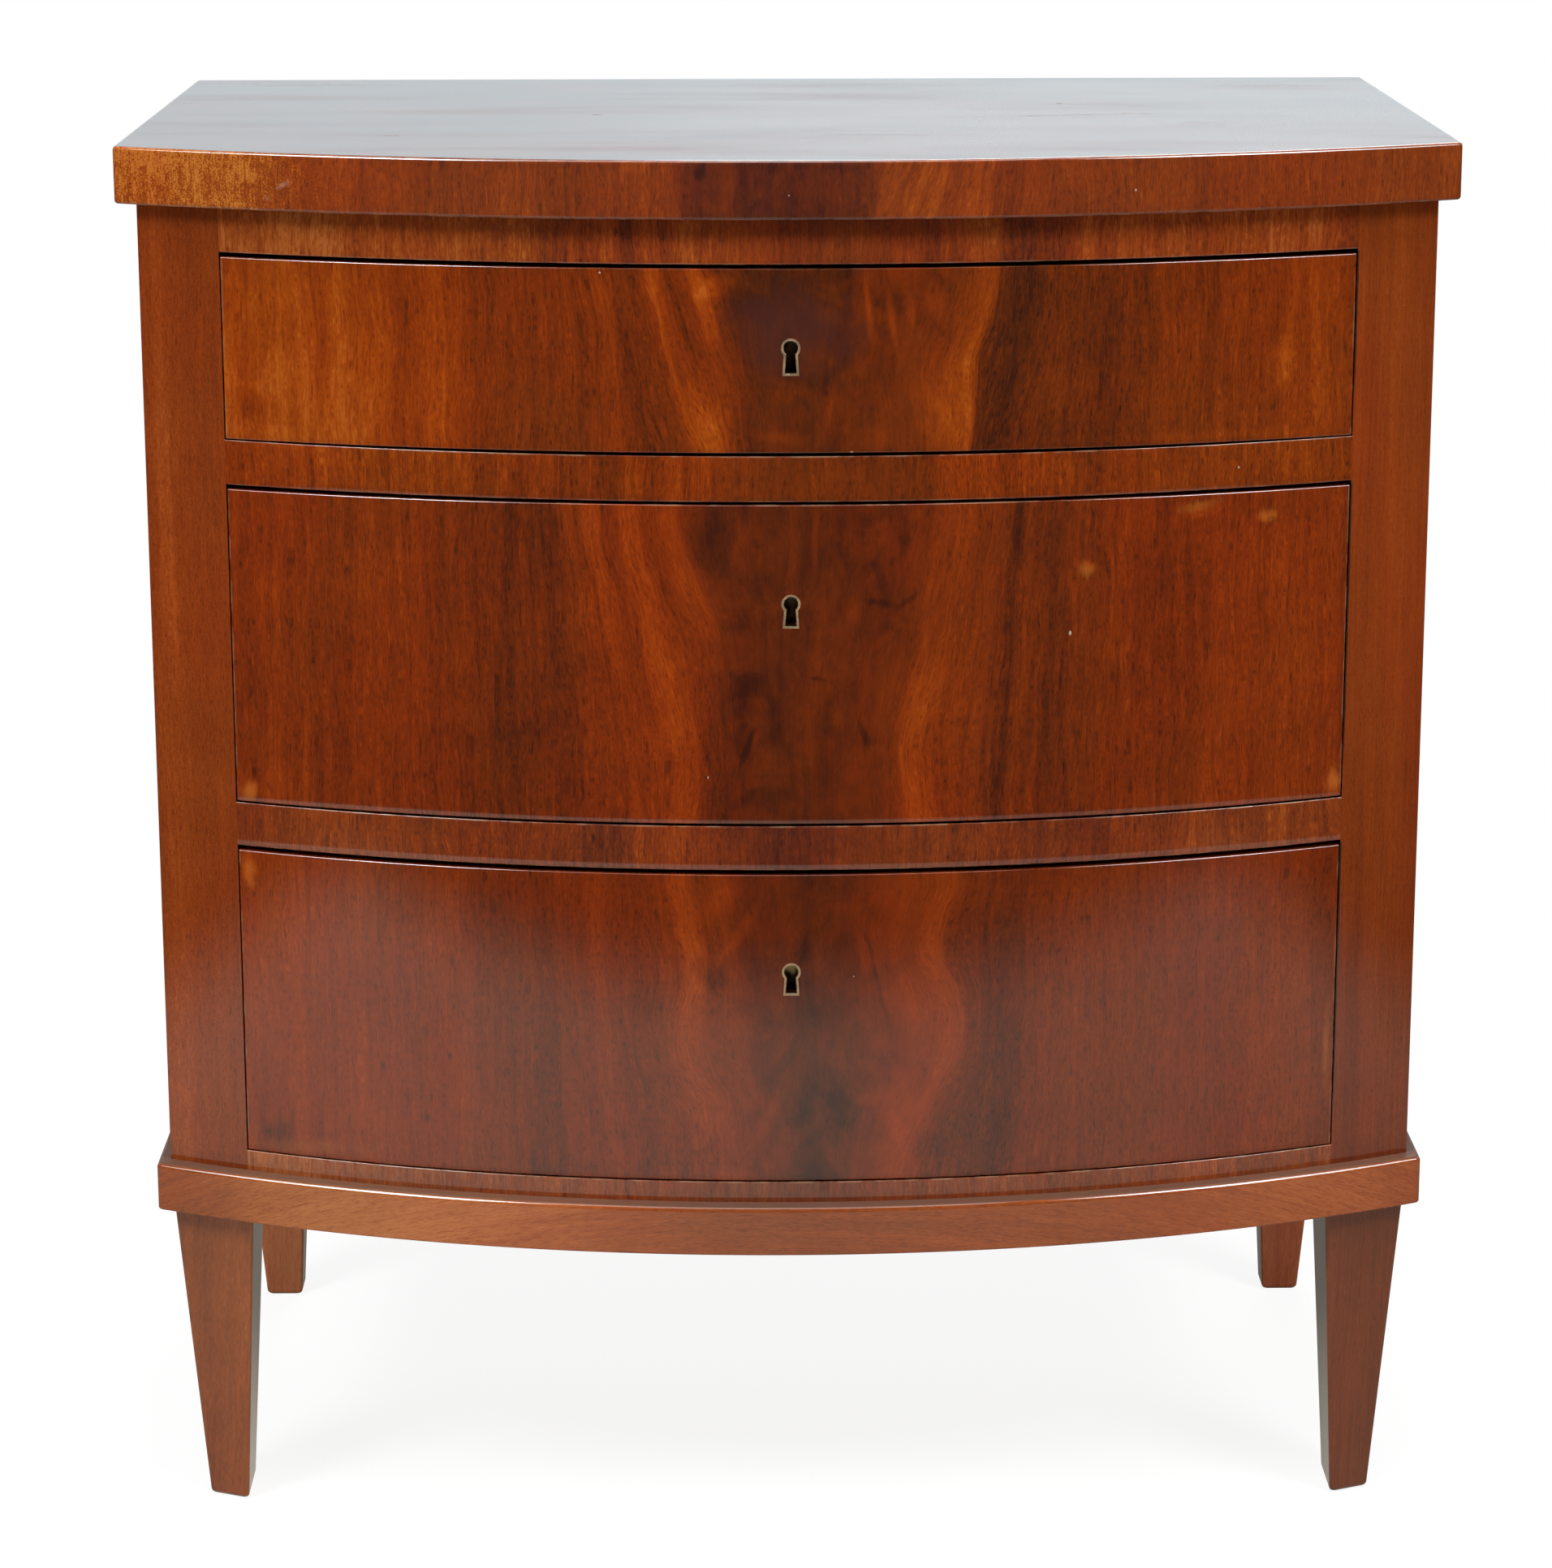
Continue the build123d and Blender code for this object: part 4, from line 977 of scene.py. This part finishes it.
def easedCopy(node, past, thicker=0):  # a cutter a little larger than its node, so that no two faces coincide
    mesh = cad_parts[node].data.copy()
    work = bmesh.new()
    work.from_mesh(mesh)
    bmesh.ops.remove_doubles(work, verts=work.verts, dist=1e-6)
    outer = max(abs(vert.co.x) for vert in work.verts)
    middle = (min(vert.co.z for vert in work.verts) + max(vert.co.z for vert in work.verts)) / 2
    for vert in work.verts:
        if abs(vert.co.x) > outer - 1e-5:
            vert.co.x += math.copysign(past, vert.co.x)
        vert.co.y -= joint["ease"]
        vert.co.z += math.copysign(thicker, vert.co.z - middle)
    work.to_mesh(mesh)
    work.free()
    return mesh


for number in (1, 2, 3):
    low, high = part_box(f"drawer_{number}_front")
    values = {**drawerFront, "x": (low.x, high.x), "z": (low.z, high.z), "radius": bodyRadius, "sag": drawerSag[number]}
    piece = bowedBoard(f"drawerFront{number}", values, materials[f"drawer_{number}"])
    linerLow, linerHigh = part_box(f"keyhole_liner_{number}")
    centre = (0.0, linerHigh.z - keyhole["radius"] - keyhole["wall"])
    drop = keyhole["drops"][number]
    frontY = bowY(bodyRadius, 0)
    lockLow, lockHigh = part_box(f"lock_case_{number}")
    play, overrun = lock["play"], lock["overrun"]
    plateY = lockHigh.y - lock["plate"]
    half = lock["caseWidth"] / 2 + play
    cutters = [
        prism("seat", keyholeOutline(centre, drop, keyhole["wall"]), frontY - overrun, frontY + keyhole["linerDepth"]),
        prism("hole", keyholeOutline(centre, drop, 0), frontY - overrun, frontY + drawerFront["thickness"] + overrun),
        boxMesh("plate", (lockLow.x - play, plateY, lockLow.z - play), (lockHigh.x + play, lockHigh.y + overrun, high.z + overrun)),
        boxMesh("case", (-half, plateY - lock["caseDepth"] - play, lockLow.z + lock["caseMargin"] - play), (half, lockHigh.y + overrun, high.z + overrun)),
        boxMesh("selvedge", (lockLow.x - play, lockLow.y - play, lockHigh.z - lock["plate"]), (lockHigh.x + play, lockHigh.y + overrun, high.z + overrun)),
        easedCopy(f"drawer_{number}_side_right", overrun),
        easedCopy(f"drawer_{number}_side_left", overrun),
        easedCopy(f"drawer_{number}_bottom", joint["endPlay"], joint["ease"]),
    ]
    carve(piece, cutters)
    smooth(piece)
    deliver(piece, f"drawer_{number}", "mahogany_veneer", f"drawer_{number}_front")
print("drawer fronts made")


# Base moulding, in three mitred lengths

moulding = {
    "front": 11 * mm, "side": 8 * mm, "corner": 5 * mm, "topRound": 3.2 * mm, "lowRound": 1.2 * mm,
    "cornerSteps": 10, "frontSteps": 60, "roundSteps": 6,
}
mouldingLow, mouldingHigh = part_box("base_moulding_front")
sideMouldingLow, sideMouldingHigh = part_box("base_moulding_right")


def mouldingContour(front, side, corner):
    edgeX = bodyHalf + side
    radius = bodyRadius + front
    centre = Vector((edgeX - corner, bowCentreY - math.sqrt((radius - corner) ** 2 - (edgeX - corner) ** 2)))
    last = math.atan2(centre.y - bowCentreY, centre.x)
    turn = [centre + corner * Vector((math.cos(last * step / moulding["cornerSteps"]), math.sin(last * step / moulding["cornerSteps"])))
            for step in range(moulding["cornerSteps"] + 1)]
    steps = moulding["frontSteps"]
    arc = [Vector((radius * math.cos(angle), bowCentreY + radius * math.sin(angle)))
           for angle in (last + (-math.pi / 2 - last) * step / steps for step in range(1, steps + 1))]
    return [Vector((edgeX, sideMouldingHigh.y))] + turn + arc


def mouldingProfile():
    low, high = mouldingLow.z, mouldingHigh.z
    points = [(0, 0, 0, low)]
    for radius, base, direction in ((moulding["lowRound"], low, 1), (moulding["topRound"], high, -1)):
        steps = [index / moulding["roundSteps"] * math.pi / 2 for index in range(moulding["roundSteps"] + 1)]
        arc = [(radius * (1 - math.sin(angle)), base + direction * radius * (1 - math.cos(angle))) for angle in steps]
        if direction < 0:
            arc.reverse()
        for depth, z in arc:
            points.append((moulding["front"] - depth, moulding["side"] - depth, moulding["corner"] - depth, z))
    points.append((0, 0, 0, high))
    return points


profile = mouldingProfile()
contours = [[(point.x, point.y, z) for point in mouldingContour(front, side, corner)] for front, side, corner, z in profile]
stations = list(zip(*contours))
mitre = 1 + moulding["cornerSteps"] // 2
rightLoops, halfLoops = stations[:mitre + 1], stations[mitre:]


def mirrored(loops):
    return [[(-x, y, z) for x, y, z in loop] for loop in loops]


mouldingPieces = {
    "front": (halfLoops[:-1] + list(reversed(mirrored(halfLoops))), "moulding"),
    "right": (rightLoops, "mouldingSide"),
    "left": (mirrored(rightLoops), "mouldingSide"),
}
for name, (loops, finish) in mouldingPieces.items():
    piece = addObject(f"baseMoulding_{name}", loftMesh(name, loops), materials[finish])
    smooth(piece)
    deliver(piece, "case", "mahogany_solid", f"base_moulding_{name}")
print("base moulding made")


# Legs

leg = {
    "width": 52 * mm, "depth": 49 * mm, "inset": 1.5 * mm, "outerTaper": 17 * mm, "innerTaper": 10 * mm, "frontTaper": 9 * mm,
    "backTaper": 15 * mm, "arris": 1.8 * mm, "footRound": 4 * mm, "cornerSteps": 4, "levels": 10, "footSteps": 5,
}
legTop = mouldingLow.z
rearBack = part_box("leg_rear_right")[1].y


def legRing(corners, radius, z):  # a rounded outline inside four corners given anticlockwise from the inner front
    loop = []
    for index, corner in enumerate(corners):
        before, after = corners[index - 1], corners[(index + 1) % 4]
        toBefore, toAfter = (before - corner).normalized(), (after - corner).normalized()
        half = math.acos(toBefore.dot(toAfter)) / 2
        centre = corner + (toBefore + toAfter).normalized() * radius / math.sin(half)
        first = corner + toBefore * radius / math.tan(half) - centre
        last = corner + toAfter * radius / math.tan(half) - centre
        for step in range(leg["cornerSteps"] + 1):
            mixed = first.lerp(last, step / leg["cornerSteps"]).normalized() * radius
            loop.append((centre.x + mixed.x, centre.y + mixed.y, z))
    return loop


def legLoops(place):
    outer = bodyHalf - leg["inset"]
    if place == "front":
        front = bowY(bodyRadius, outer) + leg["inset"]
        slope = (bowY(bodyRadius, outer) - bowY(bodyRadius, outer - leg["width"])) / leg["width"]
    else:
        front, slope = rearBack - leg["depth"], 0
    loops = []
    levels = [(leg["footRound"] * (1 - math.cos(angle)), leg["footRound"] * (1 - math.sin(angle)))
              for angle in (math.pi / 2 * step / leg["footSteps"] for step in range(leg["footSteps"] + 1))]
    levels += [(leg["footRound"] + (legTop - leg["footRound"]) * step / leg["levels"], 0) for step in range(1, leg["levels"] + 1)]
    for z, inward in levels:
        share = 1 - z / legTop
        innerX = outer - leg["width"] + leg["innerTaper"] * share + inward
        outerX = outer - leg["outerTaper"] * share - inward
        outerFront = front + share * (leg["frontTaper"] - slope * leg["outerTaper"]) + inward
        backY = front + leg["depth"] - leg["backTaper"] * share - inward
        innerFront = outerFront - slope * (outerX - innerX)
        corners = [Vector(point) for point in ((innerX, innerFront), (outerX, outerFront), (outerX, backY), (innerX, backY))]
        loops.append(legRing(corners, leg["arris"], z))
    return loops


for place in ("front", "rear"):
    loops = legLoops(place)
    for side, shape in (("right", loops), ("left", mirrored(loops))):
        piece = addObject(f"leg_{place}_{side}_turned", loftMesh("leg", shape), materials[f"leg{place.title()}"])
        smooth(piece)
        deliver(piece, "case", "mahogany_solid", f"leg_{place}_{side}")
print("legs made")


# Screws: one countersunk screw, set on points by geometry nodes

screwTree, sheet = newTree("screwRow", [
    ("Points", "NodeSocketGeometry", None),
    ("Screw", "NodeSocketObject", None),
    ("Seed", "NodeSocketInt", 3),
    ("Material", "NodeSocketMaterial", None),
])
given = sheet.add("NodeGroupInput", None, None, "Points")
shape = sheet.add("GeometryNodeObjectInfo", None, {"Object": given.other("Screw")}, "Geometry")
facing = sheet.add("GeometryNodeInputNamedAttribute", {"data_type": "FLOAT_VECTOR"}, {"Name": "facing"})
aim = sheet.add("FunctionNodeAlignEulerToVector", {"axis": "Z"}, {"Vector": facing})
turn = sheet.add("FunctionNodeRandomValue", {"data_type": "FLOAT"}, {"Min": 0.0, "Max": math.pi, "Seed": given.other("Seed")}, 1)
spin = sheet.add("FunctionNodeRotateEuler", {"space": "LOCAL"}, {"Rotation": aim, "Rotate By": sheet.place(0.0, 0.0, turn)})
placed = sheet.add("GeometryNodeInstanceOnPoints", None, {"Points": given, "Instance": shape, "Rotation": spin})
placed = sheet.add("GeometryNodeRealizeInstances", None, {0: placed})
placed = sheet.add("GeometryNodeSetMaterial", None, {"Geometry": placed, "Material": given.other("Material")})
sheet.add("NodeGroupOutput", None, {"Geometry": placed})


def screwMesh(radius, headRadius, length):
    headHeight = headRadius - radius
    outline = [(headRadius * 0.96, 0), (headRadius, headRadius * 0.05), (radius, headHeight), (radius, length * 0.25)]
    outline += [(radius * 0.92, length * 0.27), (radius * 0.86, length - 2 * radius), (radius * 0.12, length)]
    steps = 20
    loops = [[(r * math.cos(2 * math.pi * k / steps), r * math.sin(2 * math.pi * k / steps), z) for k in range(steps)] for r, z in outline]
    piece = addObject("screwShape", loftMesh("screwShape", loops))
    slotHalf = headRadius * 0.13
    carve(piece, [boxMesh("slot", (-headRadius * 1.2, -slotHalf, -headHeight), (headRadius * 1.2, slotHalf, headHeight * 0.6))])
    smooth(piece)
    return piece


def screwRow(name, points, facing, sizes, body, node, seed):
    mesh = bpy.data.meshes.new(name)
    mesh.from_pydata(points, [], [])
    attribute = mesh.attributes.new("facing", "FLOAT_VECTOR", "POINT")
    for item in attribute.data:
        item.vector = facing
    shapePiece = screwMesh(*sizes)
    piece = addObject(name, mesh)
    useTree(piece, screwTree, {"Screw": shapePiece, "Seed": seed, "Material": materials["screw"]})
    settle(piece)
    bpy.data.objects.remove(shapePiece)
    deliver(piece, body, "screw_steel", node)


def clusterCentres(node, axis, reach):  # where each screw head of a CAD group stands
    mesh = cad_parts[node].data
    points = []
    level = max(v.co[axis] * reach for v in mesh.vertices) * reach
    for vertex in mesh.vertices:
        if abs(vertex.co[axis] - level) > 1e-4:
            continue
        for cluster in points:
            if (cluster[0] - vertex.co).length < 9 * mm:
                cluster.append(vertex.co.copy())
                break
        else:
            points.append([vertex.co.copy()])
    centres = []
    for cluster in points:
        lows = [min(co[k] for co in cluster) for k in range(3)]
        highs = [max(co[k] for co in cluster) for k in range(3)]
        centres.append(tuple((a + b) / 2 for a, b in zip(lows, highs)))
    return sorted(centres)


screwRow("backScrewRow", clusterCentres("back_screws", 1, 1), (0, -1, 0), (1.8 * mm, 3.6 * mm, 28 * mm), "case", "back_screws", 5)
screwRow("topScrewRow", clusterCentres("top_screws", 2, -1), (0, 0, 1), (2.2 * mm, 4.4 * mm, 46 * mm), "case", "top_screws", 9)
for number in (1, 2, 3):
    node = f"lock_screws_{number}"
    centres = clusterCentres(node, 1, 1)
    screwRow(f"lockScrews{number}", centres, (0, -1, 0), (1.3 * mm, 2.6 * mm, 12 * mm), f"drawer_{number}", node, 11 + number)
print("screws made")


# CAD nodes that stay

finishes = {"bottom_board": "pineAlongX", "back_board_lower": "pineAlongX", "back_board_upper": "pineAlongX", "back_rail": "pineAlongX"}
finishes["drawer_stops"] = "pineAlongX"
for side in ("right", "left"):
    finishes[f"side_panel_{side}"] = "side"
    finishes[f"kicker_{side}"] = "pineAlongY"
    for number in (1, 2, 3):
        finishes[f"runner_{number}_{side}"] = "pineAlongY"
        finishes[f"drawer_{number}_side_{side}"] = "oakAlongY"
for number in (1, 2, 3):
    finishes[f"drawer_{number}_back"] = "oakAlongX"
    finishes[f"drawer_{number}_bottom"] = "oakAlongX"
    finishes[f"keyhole_liner_{number}"] = "liner"
    finishes[f"lock_case_{number}"] = "lock"
    finishes[f"lock_bolt_{number}"] = "bolt"
for number in (1, 2):
    finishes[f"dust_board_{number}"] = "pineAlongX"
for node, finish in finishes.items():
    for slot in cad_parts[node].material_slots:
        slot.material = materials[finish]
left = [name for name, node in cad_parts.items() if name not in finishes and not node.hide_render]
print("nodes that stay:", len(finishes), "without a finish:", left)


# Floor, backdrop, lamps and camera

stage = {
    "floorHalf": 14.0, "paperFront": -1.47, "paperBack": -0.22, "paperHalf": 1.35, "paperFade": 0.22, "paperGlow": 0.93,
    "backGlow": 0.35, "floorAlbedo": 0.6, "cameraGlow": 0.88, "cameraShadow": 0.14, "whiteFrom": 0.8, "whiteTo": 1.6,
    "ambient": 0.24, "behind": 0.84, "front": 0.012, "windowLeft": 22.0, "windowRight": 20.0,
}
skyTint = (0.82, 1.0, 1.07, 1)


def makeFloor():
    work = bmesh.new()
    bmesh.ops.create_grid(work, x_segments=1, y_segments=1, size=stage["floorHalf"])
    mesh = bpy.data.meshes.new("floor")
    work.to_mesh(mesh)
    work.free()
    material, sheet = newMaterial("floorPaper")
    x, y, z = sheet.axes(sheet.add("ShaderNodeTexCoord", None, None, "Object"))
    path = sheet.add("ShaderNodeLightPath")
    paper = sheet.add("ShaderNodeBsdfDiffuse", None, {"Color": (stage["floorAlbedo"],) * 3 + (1,)})
    fade = stage["paperFade"]
    inFront = y.fade(stage["paperFront"] - fade, stage["paperFront"] + fade)
    inFront = inFront * x.abs().fade(stage["paperHalf"] + fade, stage["paperHalf"] - fade)
    # The floor as seen in reflections has painted light and shade: painted shade near and under the chest, where its
    # shadow falls, and brighter towards the left, under the key lamp.
    inFront = inFront * y.fade(-0.95, -0.35, 1, 0.6) * x.fade(-0.8, 0.8, 1.05, 0.76)
    glow = inFront * y.fade(stage["paperBack"], stage["paperBack"] + fade * 2, stage["paperGlow"], stage["backGlow"])
    reflected = sheet.add("ShaderNodeEmission", None, {"Color": (1.0, 1.0, 0.86, 1), "Strength": glow.max(stage["front"])})
    far = ((x * x + y * y) ** 0.5).fade(stage["whiteFrom"], stage["whiteTo"])
    bright = sheet.add("ShaderNodeEmission", None, {"Strength": far * (1 - stage["cameraGlow"]) + stage["cameraGlow"]})
    dimmed = sheet.add("ShaderNodeBsdfDiffuse", None, {"Color": (1 - far) * stage["cameraShadow"]})
    seen = sheet.add("ShaderNodeAddShader", None, {0: bright, 1: dimmed})
    shader = sheet.add("ShaderNodeMixShader", None, {0: path.other("Is Glossy Ray"), 1: paper, 2: reflected})
    shader = sheet.add("ShaderNodeMixShader", None, {0: path, 1: shader, 2: seen})
    finishMaterial(sheet, shader)
    floor = addObject("floor", mesh, material)
    floor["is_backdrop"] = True


def makeWorld():
    world = bpy.data.worlds.new("studio")
    bpy.context.scene.world = world
    world.use_nodes = True
    world.node_tree.nodes.clear()
    sheet = Sheet(world.node_tree)
    x, y, z = sheet.axes(sheet.add("ShaderNodeTexCoord", None, None, "Generated"))
    path = sheet.add("ShaderNodeLightPath")
    seen = path.max(path.other("Is Transmission Ray"))
    around = y.fade(-0.15, 0.55, stage["front"], stage["behind"])
    sideways = x / y.math("MINIMUM", -0.05) * -1
    height = z.fade(0.45, 0.55) * z.fade(0.93, 0.86)
    window = sideways.fade(-2.4, -1.9) * sideways.fade(-0.5, -0.75) * stage["windowLeft"]
    window = sideways.fade(0.85, 1.05) * sideways.fade(4.0, 3.0) * stage["windowRight"] + window
    around = window * height * y.fade(-0.05, -0.12) + around
    strength = path.other("Is Glossy Ray") * (around - stage["ambient"]) + stage["ambient"]
    strength = seen * (1 - strength) + strength
    tint = sheet.mix(path.other("Is Glossy Ray"), (1, 1, 1, 1), skyTint)
    background = sheet.add("ShaderNodeBackground", None, {"Color": tint, "Strength": strength})
    sheet.add("ShaderNodeOutputWorld", None, {"Surface": background})


lamps = {
    "keyLeft": {"at": (-2.4, -2.6, 3.7), "size": 1.3, "power": 148},
    "fillRight": {"at": (2.5, -2.5, 3.6), "size": 1.3, "power": 124},
    "overhead": {"at": (0.0, -0.6, 3.2), "size": 1.6, "power": 45},
    "rear": {"at": (0.6, 3.2, 2.4), "size": 1.6, "power": 45},
}


def makeLamps():
    for name, values in lamps.items():
        light = bpy.data.lights.new(name, "AREA")
        light.shape, light.size, light.energy = "SQUARE", values["size"], values["power"]
        lamp = bpy.data.objects.new(name, light)
        bpy.context.scene.collection.objects.link(lamp)
        lamp.location = values["at"]
        lamp.rotation_euler = (Vector((0, 0, 0.45)) - Vector(values["at"])).to_track_quat("-Z", "Y").to_euler()


cameraView = {"at": (-0.0369, -2.8674, 1.1461), "pitch": 14.0, "yaw": 0.61, "roll": -0.1, "lens": 102.63, "sensor": 36}


def makeCamera():
    camera = bpy.data.cameras.new("camera")
    camera.lens, camera.sensor_width, camera.clip_end = cameraView["lens"], cameraView["sensor"], 60
    pitch, yaw, roll = (math.radians(cameraView[name]) for name in ("pitch", "yaw", "roll"))
    forward = Vector((math.sin(yaw) * math.cos(pitch), math.cos(yaw) * math.cos(pitch), -math.sin(pitch)))
    level = Vector((math.cos(yaw), -math.sin(yaw), 0))
    upright = level.cross(forward)
    right = math.cos(roll) * level + math.sin(roll) * upright
    up = math.cos(roll) * upright - math.sin(roll) * level
    piece = bpy.data.objects.new("camera", camera)
    bpy.context.scene.collection.objects.link(piece)
    turned = Matrix((right, up, -forward)).transposed().to_4x4()
    piece.matrix_world = Matrix.Translation(cameraView["at"]) @ turned
    bpy.context.scene.camera = piece


makeFloor()
makeWorld()
makeLamps()
makeCamera()
bpy.context.scene.view_settings.view_transform = "Standard"
print("stage set")

low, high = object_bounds()
